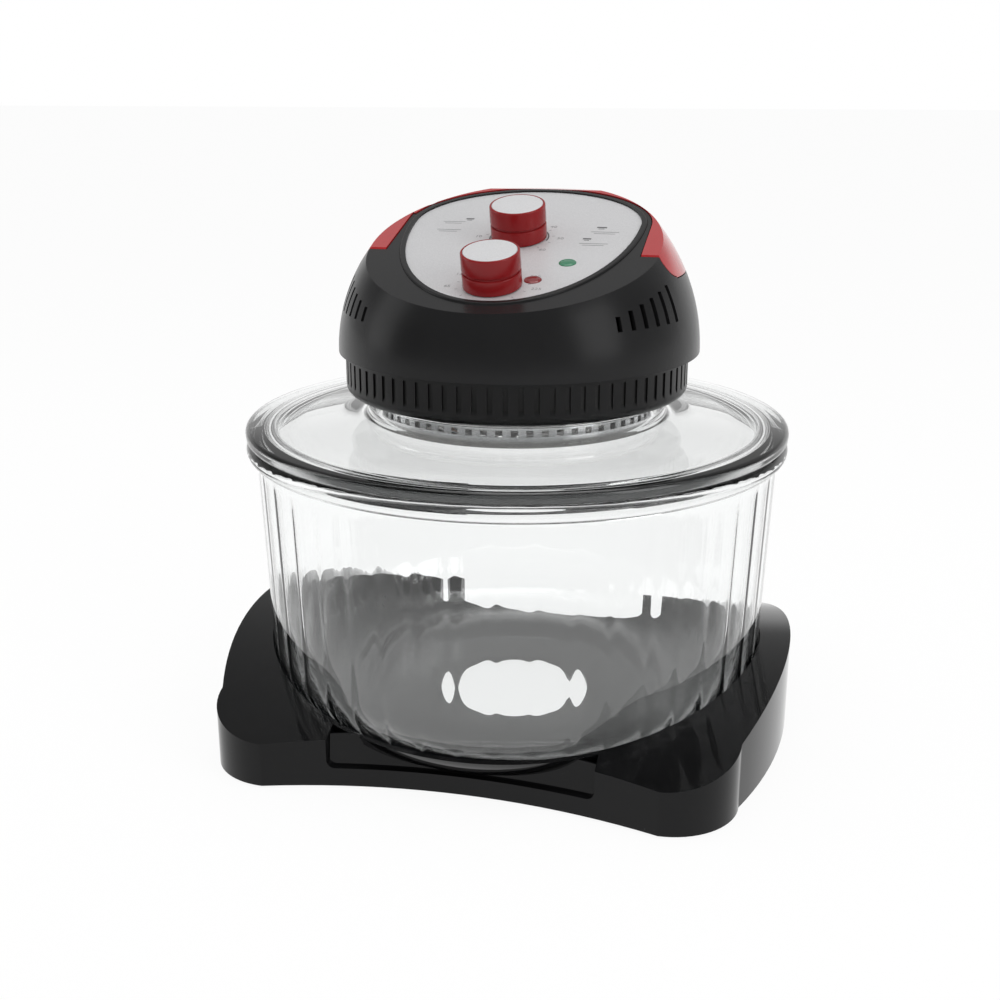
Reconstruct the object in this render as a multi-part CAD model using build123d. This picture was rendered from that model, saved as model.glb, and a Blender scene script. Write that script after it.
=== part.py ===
from build123d import *
import math
import os

# Halogen oven: a black stand, a glass bowl, and a lift-off glass lid that carries the heating head.
# Millimetres, +Z up.  The origin is the middle of the stand on the table, and the front is -Y.

# ---------------------------------------------------------------- driving sizes
PIECE_GAP = 0.3          # space between pieces of different bodies that rest together
SEAT_GAP = 0.1           # space between pieces of one body that are pressed or clipped together
RUNNING_GAP = 0.05       # radial play of a shaft in its bearing
CUT = 1.0                # how far a cutting tool passes the faces that it cuts

# glass bowl
BOWL_BOTTOM = 11.3           # height of the bowl's foot above the table
BOWL_HEIGHT = 169.2          # from the foot to the top of the rim
BOWL_RADIUS = 159.0          # outside, under the rim
BOWL_HEEL = 44.0             # outside radius between the foot and the wall
BOWL_TAPER = 4.5             # how much the wall draws in on its way down
BOWL_GLASS = 4.5
RIM_OVERHANG = 6.0           # how far the rim stands out of the wall
RIM_DEPTH = 9.5
RIM_ROUND = 1.5
WELL_CLEARANCE = 1.2         # air between the bowl and its well

# stand
STAND_SIDE_MARGIN = -5.8     # side wall's ends beyond the bowl's radius
STAND_FRONT_MARGIN = -4.2    # front corners beyond the bowl's radius
STAND_CORNER = 40.0
SIDE_BULGE = 21.0
FRONT_HOLLOW = 17.3
STAND_WALL = 2.8
EDGE_LOW = 26.5              # height of the deck over the middle of the notches
EDGE_RISE = 28.0             # how much higher the deck is at the sides
EDGE_POWER = 2.2
DECK_FALL = 0.33             # how steeply the deck falls away outward
BACK_FALL = 0.08             # how much more steeply it falls toward the back
DECK_MARGIN = 18.0           # how far the deck surface is drawn beyond the stand
DECK_STEPS = 14              # grid of the deck surface
NOTCH_HALF_WIDTH = 77.0
NOTCH_FLOOR = 12.5
NOTCH_ROUND = 5.0            # round in the notches' lower corners
BACK_NOTCH_REACH = 112.0     # the open back notch starts this far behind the middle
DRAIN_RADIUS = 4.5           # hole through the well's wall inside the front notch
DRAIN_HEIGHT = 29.0
DRAIN_TURN = 246.0           # degrees from +X
STAND_LIFT = 1.5             # gap under the wall, which the feet keep open
SEAT_RING_INSET = 10.5       # seat ring's middle inside the edge of the bowl's foot
SEAT_RING_WIDTH = 8.0
VENT_HOLE_RADIUS = 45.5
FOOT_RADIUS = 9.0
FOOT_HEIGHT = 3.5
FOOT_INSET_SIDE = 39.0       # foot's middle inside the side wall's ends
FOOT_INSET_FRONT = 40.0      # foot's middle inside the front corners

# glass lid
LID_EDGE_HEIGHT = 8.0
LID_GLASS = 5.0
LID_RISE = 5.0               # how much the glass climbs from its edge to the neck
LID_EDGE_ROUND = 2.5
LID_UNDER_ROUND = 1.5
NECK_RADIUS = 90.0
NECK_HEIGHT = 11.5
NECK_GLASS = 4.0
NECK_FOOT = 6.0              # how far the neck's foot spreads over the lid
NECK_ROUND = 3.0             # inside and outside rounding of the neck's foot
NECK_LIP = 4.0               # inward lip at the top of the neck
NECK_LIP_THICK = 3.0
LID_SPIGOT_DEPTH = 5.0       # the ring that drops inside the bowl
LID_SPIGOT_PLAY = 2.0
GASKET_THICK = 1.4

# head: skirt
SKIRT_OVERHANG = 13.5        # how far the skirt stands out of the neck
SKIRT_HEIGHT = 24.0
SKIRT_WALL = 2.5
SKIRT_ROUND = 5.0
SKIRT_SLOTS = 44
SLOT_WIDTH = 4.2
SLOT_SILL = 7.0              # wall left under the slots
SLOT_LINTEL = 2.5            # wall left over the slots
FLOOR_LEDGE = 18.0           # width of the skirt's floor inside the neck's outside
SCREW_INSET = 7.5            # housing screws inside the skirt's outside
SCREW_BOSS = 4.2
SCREW_RADIUS = 2.0
SCREW_HEAD_RADIUS = 3.4
SCREW_HEAD = 2.2
SCREW_BITE = 8.0             # how far a screw goes into a dome boss
BOSS_END = 2.0               # solid end of a dome boss beyond its screw

# head: dome
DOME_SIDE_OVERHANG = 6.0     # dome's lip beyond the skirt at the sides
DOME_FRONT_OVERHANG = 2.0
DOME_BACK_OVERHANG = 15.5
DOME_FLANGE = 11.5           # flange's inner edge inside the skirt's outside
DOME_WALL = 2.6
DOME_HEIGHT = 88.0           # from the lip to the highest section
DOME_SIDE_CURVE = 0.81       # how fast the sides draw in, 1 closes them at the top
DOME_FRONT_CURVE = 0.97
DOME_BACK_CURVE = 0.64
DOME_SECTIONS = 7
SIDE_VENTS = 6               # slots in each side group
VENT_WIDTH = 3.2
VENT_STEP = 5.4              # degrees between neighbouring slots
VENT_FIRST = 17.0            # degrees from the side to the group's longest slot
VENT_LONG = 20.0
VENT_SHORT = 8.0
VENT_RISE = 25.0             # lower ends of the slots above the dome's lip
SEAT_BLOCK = 9.0             # depth of solid dome under the panel plane
PANEL_LEDGE = 5.0            # width of the dome's ledge under the panel's edge

# tilted control panel
PANEL_TILT = 16.0
PANEL_RISE = 64.1            # panel plane above the dome's lip on the axis
PANEL_HALF_WIDTH = 70.0
PANEL_FRONT = 114.0          # from the widest place to the front tip
PANEL_REAR = 53.0            # from the widest place to the rear edge
PANEL_WIDEST = 28.0          # widest place, up the panel from the axis
PANEL_THICK = 3.0
SURROUND_WIDTH = 3.5
SURROUND_DEPTH = 6.0
SURROUND_PROUD = 1.0
SURROUND_LEDGE = 2.0         # the surround's ledge under the panel
LIP_WIDTH = 2.3              # dome material outside the surround

# knobs, shafts and lamps on the panel
TIMER_PLACE = 5.5            # up the panel from the axis
THERMOSTAT_PLACE = -64.0
KNOB_RADIUS = 15.5
KNOB_HEIGHT = 18.0
KNOB_STAND_OFF = 0.4
KNOB_GROOVE = 1.2
KNOB_GROOVE_WIDTH = 1.6
KNOB_BORE_DEPTH = 13.0
KNOB_CAP_OVERHANG = 1.5
KNOB_CAP_THICK = 2.6
KNOB_SHAFT_RADIUS = 3.0
SHAFT_GRIP = 10.0            # how far a shaft goes into its unit
TIMER_RADIUS = 22.0
TIMER_DEPTH = 30.0
THERMOSTAT_RADIUS = 16.0
THERMOSTAT_DEPTH = 18.0
LENS_RADIUS = 5.0
LENS_PROUD = 1.0
LENS_FLANGE = 1.5
LAMP_RADIUS = 3.0
LAMP_LENGTH = 14.0
GREEN_LAMP_PLACE = (36.0, -30.0)
RED_LAMP_PLACE = (21.0, -55.0)

# carrying handle and the switches under it
PIVOT_Y = -10.0
PIVOT_RISE = 55.6            # pivot axis above the dome's lip
HANDLE_DROP = 8.5            # handle's lower face under the pivot axis
HANDLE_EAR = 7.6
HANDLE_GAP = 0.6
HANDLE_PROUD = 0.6
PIN_RADIUS = 2.5
PIN_LENGTH = 14.0
PIN_BITE = 4.8               # how far a pin is pressed into the dome
HUB_STEPS = 8                # places along a quarter of the hub's outline
PLUNGER_SPREAD = 6.6         # plunger's middle outside the handle's inner face
PLUNGER_BACK = 50.0          # plungers behind the pivot axis
PLUNGER_RADIUS = 2.0
PLUNGER_LENGTH = 13.0
SWITCH_SIZE = (10.0, 20.0, 12.0)

# motor and fans
SHAFT_RADIUS = 3.0
SHAFT_HOLE_PLAY = 3.0        # air round the shaft where it passes a plate
SHAFT_STUB = 4.2             # shaft above the upper bearing
MOTOR_WIDTH = 62.0
MOTOR_DEPTH = 54.0
MOTOR_STACK = 16.0
MOTOR_RISE = 24.1            # stack's underside above the skirt
MOTOR_BORE = 13.0
COIL_LEG = 9.0
COIL_BUILD = 9.0
COIL_WIDTH = 32.0
COIL_OVER = 3.0
ROTOR_PLAY = 0.5
END_PLATE = 3.3
BEARING_RADIUS = 6.0
BEARING_LENGTH = 4.8
BRACKET_SHEET = 1.5
BRACKET_REACH = 84.0
BRACKET_WIDTH = 14.0
COOLING_FAN_RADIUS = 72.0
COOLING_FAN_DROP = 15.5      # fan's underside below the motor stack
COOLING_FAN_HEIGHT = 8.0
COOLING_BLADES = 9
HOT_FAN_RADIUS = 40.0
HOT_FAN_DROP = 16.4          # fan's underside below the skirt
HOT_FAN_HEIGHT = 9.0
HOT_BLADES = 8
FAN_HUB = 8.0
FAN_SHEET = 1.0
FAN_PITCH = 38.0
FAN_DISC = 0.45              # radius of a fan's disc as a share of the fan
NUT_RADIUS = 5.0
NUT_HEIGHT = 3.0

# heater, guard and thermostat bulb
HEATER_RADIUS = 62.0
HEATER_TUBE = 5.0
HEATER_DROP = 9.9            # middle of the tube below the skirt
HEATER_OPENING = 24.0        # degrees of the ring left open at the back
END_CAP_WALL = 1.5
CLIP_SHEET = 1.2
CLIP_WALL = 2.0
CLIP_TURNS = (200.0, 270.0, 340.0)
REFLECTOR_SHEET = 0.8
REFLECTOR_PLAY = 1.0         # air between the reflector and the gasket
SHIELD_PLAY = 2.0
SHIELD_HEIGHT = 3.0
GUARD_PLAY = 4.0             # air between the guard's wall and the neck
GUARD_DEPTH = 17.0
GUARD_SHEET = 0.8
GUARD_HOLES = 60
GUARD_HOLE = 4.0
GUARD_HOLE_DROP = 4.2        # middle of the wall's holes below the flange
GUARD_FLANGE = 12.7          # width of the guard's flange
GUARD_HUB = 12.0
GUARD_SLOT = 3.0
GUARD_SPOKES = 24
GUARD_SCREW_INSET = 9.0      # guard screws inside the neck's inner wall
GUARD_SCREW_RADIUS = 1.5
GUARD_SCREW_HEAD = 2.8
GUARD_SCREW_HEAD_THICK = 1.5
SPACER_WALL = 1.5
BULB_RADIUS = 2.0
BULB_PLACE = (-30.0, -38.0)
BULB_COLLAR = 2.0

# supply
CORD_RADIUS = 3.6
GLAND_RADIUS = 6.0
GLAND_RISE = 12.1            # cord's entry above the dome's lip
GLAND_LENGTH = 14.0
GLAND_COLLAR = 3.0
GLAND_COLLAR_WIDTH = 2.0
TERMINAL_SIZE = (24.0, 12.0, 12.0)

# ---------------------------------------------------------------- sizes that follow
RIM_TOP = BOWL_BOTTOM + BOWL_HEIGHT
RIM_RADIUS = BOWL_RADIUS + RIM_OVERHANG
HEEL_TOP = BOWL_BOTTOM + BOWL_HEEL
FOOT_EDGE = BOWL_RADIUS - BOWL_TAPER - BOWL_HEEL
STAND_HALF_WIDTH = BOWL_RADIUS + STAND_SIDE_MARGIN
STAND_HALF_DEPTH = BOWL_RADIUS + STAND_FRONT_MARGIN
LID_BOTTOM = RIM_TOP + PIECE_GAP
LID_TOP = LID_BOTTOM + LID_EDGE_HEIGHT
NECK_BASE = LID_TOP + LID_RISE
NECK_TOP = NECK_BASE + NECK_HEIGHT
NECK_INSIDE = NECK_RADIUS - NECK_GLASS
LIP_INSIDE = NECK_INSIDE - NECK_LIP
SKIRT_BOTTOM = NECK_TOP + GASKET_THICK + 2 * SEAT_GAP
SKIRT_FLOOR = SKIRT_BOTTOM + SKIRT_WALL
SKIRT_RADIUS = NECK_RADIUS + SKIRT_OVERHANG
FLOOR_OPENING = NECK_RADIUS - FLOOR_LEDGE
SCREW_CIRCLE = SKIRT_RADIUS - SCREW_INSET
LIP_BOTTOM = SKIRT_BOTTOM + SKIRT_HEIGHT
DOME_HALF_WIDTH = SKIRT_RADIUS + DOME_SIDE_OVERHANG
DOME_FRONT = SKIRT_RADIUS + DOME_FRONT_OVERHANG
DOME_BACK = SKIRT_RADIUS + DOME_BACK_OVERHANG
PANEL_HEIGHT = LIP_BOTTOM + PANEL_RISE
PIVOT_Z = LIP_BOTTOM + PIVOT_RISE
HANDLE_BOTTOM = PIVOT_Z - HANDLE_DROP
HANDLE_SIDE = PANEL_HALF_WIDTH + SURROUND_WIDTH + LIP_WIDTH + HANDLE_GAP
PIN_START = HANDLE_SIDE - HANDLE_GAP - PIN_BITE
PIN_END = PIN_START + PIN_LENGTH
SHELF_BOTTOM = HANDLE_BOTTOM - HANDLE_GAP - DOME_WALL
GLAND_HEIGHT = LIP_BOTTOM + GLAND_RISE
MOTOR_BASE = SKIRT_BOTTOM + MOTOR_RISE
COOLING_FAN_BASE = MOTOR_BASE - COOLING_FAN_DROP
HOT_FAN_BASE = SKIRT_BOTTOM - HOT_FAN_DROP
SHAFT_TOP = MOTOR_BASE + MOTOR_STACK + BEARING_LENGTH + SHAFT_STUB
HEATER_LEVEL = SKIRT_BOTTOM - HEATER_DROP
END_CAP_RADIUS = HEATER_TUBE + END_CAP_WALL
REFLECTOR_RADIUS = LIP_INSIDE - REFLECTOR_PLAY
REFLECTOR_BOTTOM = SKIRT_BOTTOM - SEAT_GAP - REFLECTOR_SHEET
SHIELD_RADIUS = LIP_INSIDE - SHIELD_PLAY
GUARD_RADIUS = NECK_INSIDE - GUARD_PLAY
GUARD_TOP = NECK_TOP - NECK_LIP_THICK - SEAT_GAP
GUARD_FLANGE_OUTSIDE = NECK_INSIDE - PIECE_GAP
GUARD_FLANGE_INSIDE = GUARD_FLANGE_OUTSIDE - GUARD_FLANGE
GUARD_SCREW_CIRCLE = NECK_INSIDE - GUARD_SCREW_INSET

TILT = math.radians(PANEL_TILT)
PANEL_NORMAL = (0, -math.sin(TILT), math.cos(TILT))
PANEL_PLANE = Plane(origin=(0, 0, PANEL_HEIGHT), x_dir=(1, 0, 0), z_dir=PANEL_NORMAL)


def save(name, *solids):
    """Write one node; its solids stay separate."""
    node = Compound(children=list(solids)) if len(solids) > 1 else solids[0]
    export_step(node, os.path.join("parts", name + ".step"))


def revolved(points):
    """Turn a closed outline of (radius, height) points about the Z axis."""
    outline = Polyline(*[(r, 0, z) for r, z in points], close=True)
    return revolve(make_face(outline), Axis.Z)


def turned_line(edges):
    """Turn an outline made of edges in the XZ plane about the Z axis."""
    return revolve(make_face(edges), Axis.Z)


def tube(outer, inner, bottom, top, centre=(0, 0)):
    """An upright pipe."""
    height = top - bottom
    place = Pos(centre[0], centre[1], bottom + height / 2)
    return place * (Cylinder(outer, height) - Cylinder(inner, height))


def rod(radius, bottom, top, centre=(0, 0)):
    """An upright round bar."""
    height = top - bottom
    return Pos(centre[0], centre[1], bottom + height / 2) * Cylinder(radius, height)


def on_panel(u, v, height=0.0):
    """A place on the tilted panel, u to the right and v up the slope."""
    return PANEL_PLANE * Pos(u, v, height)


def egg(grow):
    """Outline of the control panel, grown outward, as a flat face in its own plane."""
    wide = PANEL_HALF_WIDTH + grow
    front = PANEL_FRONT + grow
    rear = PANEL_REAR + grow
    rear_arc = EllipticalCenterArc((0, PANEL_WIDEST), wide, rear, start_angle=0, arc_size=180)
    front_arc = EllipticalCenterArc((0, PANEL_WIDEST), wide, front, start_angle=180, arc_size=180)
    return make_face([rear_arc, front_arc])


def egg_prism(grow, low, high):
    """The panel outline as a block between two heights along the panel normal."""
    return PANEL_PLANE * Pos(0, 0, low) * extrude(egg(grow), high - low)


def around(turn, count, offset=0.0):
    """Equal turns about the Z axis."""
    return [Rot(0, 0, turn * (i + offset) / count) for i in range(count)]


def below_panel(offset):
    """A block under the panel plane, or under a plane parallel to it, that holds the whole dome."""
    size = 4 * (DOME_BACK + DOME_HEIGHT)
    return PANEL_PLANE * Pos(0, 0, offset - size / 2) * Box(size, size, size)


# ---------------------------------------------------------------- stand
def stand_plan(grow=0.0):
    """Plan of the stand: bulged sides, hollow front and back, round corners."""
    half_w = STAND_HALF_WIDTH + grow
    half_d = STAND_HALF_DEPTH + grow
    run_x = STAND_HALF_WIDTH - STAND_CORNER
    run_y = STAND_HALF_DEPTH - STAND_CORNER
    corner = STAND_CORNER + grow
    edges = []
    for sx, sy, start in ((1, 1, 0), (-1, 1, 90), (-1, -1, 180), (1, -1, 270)):
        edges.append(CenterArc((sx * run_x, sy * run_y), corner, start, 90))
    for side in (-1, 1):
        flank = side * (half_w + SIDE_BULGE)
        front = side * (half_d - FRONT_HOLLOW)
        edges.append(ThreePointArc((side * half_w, -run_y), (flank, 0), (side * half_w, run_y)))
        edges.append(ThreePointArc((-run_x, side * half_d), (0, front), (run_x, side * half_d)))
    return make_face(Wire(edges))


def deck_height(x, y):
    """Height of the stand's deck: high beside the bowl, falling away to the corners."""
    edge = EDGE_LOW + EDGE_RISE * (abs(x) / BOWL_RADIUS) ** EDGE_POWER
    edge -= BACK_FALL * max(0, y) ** 2 / BOWL_RADIUS
    return edge - DECK_FALL * (x * x + y * y - BOWL_RADIUS ** 2) / (2 * BOWL_RADIUS)


def above_deck(drop):
    """Everything above the deck surface, lowered by the given drop."""
    reach = max(STAND_HALF_WIDTH + SIDE_BULGE, STAND_HALF_DEPTH) + DECK_MARGIN
    places = [reach * (2 * i / DECK_STEPS - 1) for i in range(DECK_STEPS + 1)]
    rows = [[Vector(x, y, deck_height(x, y) - drop) for y in places] for x in places]
    surface = Face.make_surface_from_array_of_points(rows)
    return extrude(surface, stand_top(), dir=(0, 0, 1))


def stand_top():
    """A height above every point of the stand."""
    return deck_height(STAND_HALF_WIDTH + SIDE_BULGE, 0) + STAND_WALL


def bowl_wall(z, grow=0.0):
    """Outside radius of the bowl's straight wall at a height."""
    low = BOWL_RADIUS - BOWL_TAPER
    span = RIM_TOP - RIM_DEPTH - HEEL_TOP
    return low + grow + BOWL_TAPER * (z - HEEL_TOP) / span


def bowl_solid(grow, top):
    """The bowl's outside as a solid up to a height, grown by a clearance."""
    foot = BOWL_RADIUS - BOWL_TAPER - BOWL_HEEL
    heel = BOWL_HEEL + grow
    edges = [
        Line((0, 0, HEEL_TOP - heel), (foot, 0, HEEL_TOP - heel)),
        Plane.XZ * CenterArc((foot, HEEL_TOP), heel, 270, 90),
        Line((bowl_wall(HEEL_TOP, grow), 0, HEEL_TOP), (bowl_wall(top, grow), 0, top)),
        Line((bowl_wall(top, grow), 0, top), (0, 0, top)),
        Line((0, 0, top), (0, 0, HEEL_TOP - heel)),
    ]
    return turned_line(edges)


def stand_shell():
    """Black moulding: outer wall, sloping deck, round well for the bowl, sunk floor with a vent."""
    tall = stand_top()
    deck = above_deck(0)
    outside = Pos(0, 0, STAND_LIFT) * extrude(stand_plan(), tall - STAND_LIFT) - deck
    inside = extrude(stand_plan(-STAND_WALL), tall) - above_deck(STAND_WALL)
    well_outer = bowl_solid(WELL_CLEARANCE + STAND_WALL, tall)
    well_inner = bowl_solid(WELL_CLEARANCE, tall + CUT)
    ring_middle = FOOT_EDGE - SEAT_RING_INSET
    ring_out = ring_middle + SEAT_RING_WIDTH / 2
    ring_in = ring_middle - SEAT_RING_WIDTH / 2
    ring_low = BOWL_BOTTOM - WELL_CLEARANCE - STAND_WALL / 2
    deck_middle = above_deck(STAND_WALL / 2)
    body = (outside - inside) + (well_outer - deck)
    body += outside & (front_notch(STAND_WALL) + back_notch(STAND_WALL))
    for place in foot_places():
        body += rod(FOOT_RADIUS, FOOT_HEIGHT + SEAT_GAP, tall, place) - deck_middle
    body -= well_inner
    body -= front_notch(0) - well_outer
    body -= back_notch(0)
    body -= rod(ring_in, 0, BOWL_BOTTOM + CUT)
    body += tube(ring_out, ring_in, ring_low, BOWL_BOTTOM - PIECE_GAP)
    body += tube(ring_in + STAND_WALL, ring_in, STAND_LIFT, ring_low + STAND_WALL / 2)
    body += tube(ring_in + STAND_WALL / 2, VENT_HOLE_RADIUS, STAND_LIFT, STAND_LIFT + STAND_WALL)
    drain = Pos(BOWL_RADIUS, 0, DRAIN_HEIGHT) * Rot(0, 90, 0) * Cylinder(DRAIN_RADIUS, STAND_CORNER)
    return body - Rot(0, 0, DRAIN_TURN) * drain


def notch_block(grow, depth, low, middle):
    """A block through the stand's wall, grown by a wall, with round lower corners."""
    tall = stand_top()
    block = Box(2 * (NOTCH_HALF_WIDTH + grow), depth, tall)
    low_edges = block.edges().filter_by(Axis.Y).group_by(Axis.Z)[0]
    return Pos(0, middle, low + tall / 2) * fillet(low_edges, NOTCH_ROUND + grow)


def front_notch(grow):
    """The space of the front notch, which leaves a low strip of the outer wall."""
    depth = STAND_HALF_DEPTH + CUT
    return notch_block(grow, depth, NOTCH_FLOOR - grow, -depth / 2)


def back_notch(grow):
    """The space of the back notch, which is open down to the table."""
    depth = STAND_HALF_DEPTH + CUT - BACK_NOTCH_REACH + grow
    return notch_block(grow, depth, -2 * (NOTCH_ROUND + grow), BACK_NOTCH_REACH - grow + depth / 2)


def foot_places():
    """Middle of each foot."""
    x = STAND_HALF_WIDTH - FOOT_INSET_SIDE
    y = STAND_HALF_DEPTH - FOOT_INSET_FRONT
    return [(sx * x, sy * y) for sx in (-1, 1) for sy in (-1, 1)]


def stand_feet():
    """Four rubber feet under the corner posts."""
    return [rod(FOOT_RADIUS, 0, FOOT_HEIGHT, place) for place in foot_places()]


# ---------------------------------------------------------------- bowl and lid
def glass_bowl():
    """Round bowl with a flat foot and a thick rim."""
    rim_low = RIM_TOP - RIM_DEPTH
    body = bowl_solid(0, rim_low) + rod(RIM_RADIUS, rim_low, RIM_TOP)
    rim_edge = body.edges().filter_by(GeomType.CIRCLE).group_by(Axis.Z)[-1]
    body = fillet(rim_edge, RIM_ROUND)
    inner = bowl_solid(-BOWL_GLASS, rim_low)
    mouth = rod(bowl_wall(rim_low, -BOWL_GLASS), rim_low, RIM_TOP + CUT)
    return body - inner - mouth


def lid_glass():
    """Shallow glass lid with a raised neck, a lip to clamp it by, and a spigot into the bowl."""
    spigot = bowl_wall(RIM_TOP - RIM_DEPTH, -BOWL_GLASS) - LID_SPIGOT_PLAY
    spigot_in = spigot - LID_GLASS
    spigot_low = LID_BOTTOM - LID_SPIGOT_DEPTH
    lip_low = NECK_TOP - NECK_LIP_THICK
    under_neck = NECK_BASE - LID_GLASS
    outline = [
        (RIM_RADIUS, LID_BOTTOM + LID_UNDER_ROUND),
        (RIM_RADIUS, LID_TOP - LID_EDGE_ROUND),
        (RIM_RADIUS - LID_EDGE_ROUND, LID_TOP),
        (NECK_RADIUS + NECK_FOOT, NECK_BASE - NECK_ROUND / 5),
        (NECK_RADIUS + NECK_ROUND / 2, NECK_BASE + NECK_ROUND / 4),
        (NECK_RADIUS, NECK_BASE + NECK_ROUND),
        (NECK_RADIUS, NECK_TOP),
        (LIP_INSIDE, NECK_TOP),
        (LIP_INSIDE, lip_low),
        (NECK_INSIDE, lip_low),
        (NECK_INSIDE, under_neck + NECK_ROUND),
        (NECK_INSIDE + NECK_ROUND, under_neck),
        (spigot_in, LID_TOP - LID_GLASS),
        (spigot_in, spigot_low),
        (spigot, spigot_low),
        (spigot, LID_BOTTOM),
        (RIM_RADIUS - LID_UNDER_ROUND, LID_BOTTOM),
    ]
    return revolved(outline)


def guard_screw_places():
    """The four screws that hold the guard, on the axes."""
    reach = GUARD_SCREW_CIRCLE
    return [(reach, 0), (-reach, 0), (0, reach), (0, -reach)]


def neck_gasket():
    """Flat silicone ring between the glass neck and the skirt."""
    bottom = NECK_TOP + SEAT_GAP
    return tube(NECK_RADIUS, LIP_INSIDE, bottom, bottom + GASKET_THICK)


# ---------------------------------------------------------------- head: skirt
def screw_places():
    """The four screws that join the skirt to the dome."""
    offset = SCREW_CIRCLE / math.sqrt(2)
    return [(sx * offset, sy * offset) for sx in (-1, 1) for sy in (-1, 1)]


def skirt_housing():
    """Lower housing: floor, slotted wall and screw bosses."""
    top = LIP_BOTTOM - SEAT_GAP
    below = SKIRT_BOTTOM - CUT
    body = rod(SKIRT_RADIUS, SKIRT_BOTTOM, top)
    body = fillet(body.edges().group_by(Axis.Z)[0], SKIRT_ROUND)
    body -= rod(SKIRT_RADIUS - SKIRT_WALL, SKIRT_FLOOR, top + CUT)
    body -= rod(FLOOR_OPENING, below, SKIRT_FLOOR + CUT)
    sill = SKIRT_BOTTOM + SLOT_SILL
    slot_height = top - SLOT_LINTEL - sill
    slot = Box(4 * SKIRT_WALL, SLOT_WIDTH, slot_height)
    middle = Pos(SKIRT_RADIUS, 0, sill + slot_height / 2)
    body -= [turn * middle * slot for turn in around(360, SKIRT_SLOTS, 0.5)]
    for place in screw_places():
        body += rod(SCREW_BOSS, SKIRT_BOTTOM, top, place)
    for place in screw_places():
        body -= rod(SCREW_RADIUS + SEAT_GAP, below, top + CUT, place)
        body -= rod(SCREW_HEAD_RADIUS + SEAT_GAP, below, SKIRT_BOTTOM + SCREW_HEAD, place)
    for place in guard_screw_places():
        body -= rod(GUARD_SCREW_RADIUS + SEAT_GAP, below, SKIRT_FLOOR + CUT, place)
    return body


def housing_screws():
    """Four screws from under the skirt floor into the dome."""
    low = SKIRT_BOTTOM + SEAT_GAP
    screws = []
    for place in screw_places():
        shank = rod(SCREW_RADIUS, low, LIP_BOTTOM + DOME_WALL + SCREW_BITE, place)
        head = rod(SCREW_HEAD_RADIUS, low, SKIRT_BOTTOM + SCREW_HEAD - SEAT_GAP, place)
        screws.append(shank + head)
    return screws


# ---------------------------------------------------------------- head: dome
def dome_body(inset):
    """The dome's outside, or its cavity when inset, lofted through egg-shaped sections."""
    sections = []
    for i in range(DOME_SECTIONS):
        part = i / (DOME_SECTIONS - 1)
        wide = (DOME_HALF_WIDTH - inset) * math.sqrt(1 - (DOME_SIDE_CURVE * part) ** 2)
        front = (DOME_FRONT - inset) * math.sqrt(1 - (DOME_FRONT_CURVE * part) ** 2)
        back = (DOME_BACK - inset) * math.sqrt(1 - (DOME_BACK_CURVE * part) ** 2)
        level = LIP_BOTTOM + DOME_HEIGHT * part
        place = Plane(origin=(0, (back - front) / 2, level))
        sections.append(place * Ellipse(wide, (front + back) / 2))
    return loft(sections)


def pivot_axis_point(y, z):
    """Distance of a point from the handle's pivot axis."""
    return math.hypot(y - PIVOT_Y, z - PIVOT_Z)


def handle_hub(grow):
    """The core that the handle swings over: the panel's lip turned about the pivot axis."""
    wide = PANEL_HALF_WIDTH + SURROUND_WIDTH + LIP_WIDTH + grow
    rear = PANEL_REAR + SURROUND_WIDTH + LIP_WIDTH + grow
    points = []
    for i in range(HUB_STEPS + 1):
        angle = math.pi / 2 * i / HUB_STEPS
        v = PANEL_WIDEST + rear * math.sin(angle)
        y = v * math.cos(TILT)
        z = PANEL_HEIGHT + v * math.sin(TILT)
        points.append((wide * math.cos(angle), pivot_axis_point(y, z)))
    right = [(x, PIVOT_Y + r, PIVOT_Z) for x, r in points]
    left = [(-x, PIVOT_Y + r, PIVOT_Z) for x, r in reversed(points)]
    crown = Spline(*(right + left[1:]), tangents=((0, 1, 0), (0, -1, 0)))
    side = points[0][1]
    corners = [(-wide, PIVOT_Y + side, PIVOT_Z), (-wide, PIVOT_Y, PIVOT_Z)]
    corners += [(wide, PIVOT_Y, PIVOT_Z), (wide, PIVOT_Y + side, PIVOT_Z)]
    profile = make_face([crown, Polyline(*corners)])
    return revolve(profile, Axis((0, PIVOT_Y, PIVOT_Z), (1, 0, 0)))


def pivot_rod(radius, start, end):
    """A bar along the pivot axis from one distance to another, on both sides."""
    length = end - start
    bar = Rot(0, 90, 0) * Cylinder(radius, length)
    return [Pos(side * (start + length / 2), PIVOT_Y, PIVOT_Z) * bar for side in (-1, 1)]


def handle_zone(gap, forward=0.0):
    """The space of the handle round the hub: behind the pivot and above its lower face."""
    size = 2 * (DOME_FRONT + DOME_BACK)
    floor = HANDLE_BOTTOM - gap
    return Pos(0, PIVOT_Y - forward + size / 2, floor + size / 2) * Box(size, size, size)


def carry_handle():
    """Horseshoe handle that lies round the panel and swings up about two pins."""
    outer = dome_body(0) & below_panel(HANDLE_PROUD)
    band = outer & handle_zone(0)
    band += [ear & outer for ear in pivot_rod(HANDLE_EAR, HANDLE_SIDE, DOME_HALF_WIDTH)]
    band -= handle_hub(HANDLE_GAP)
    for hole in pivot_rod(PIN_RADIUS + RUNNING_GAP, 0, PIN_END + PIECE_GAP):
        band -= hole
    return band


def pivot_pins():
    """Two pins pressed into the dome that carry the handle."""
    return pivot_rod(PIN_RADIUS, PIN_START, PIN_END)


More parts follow.
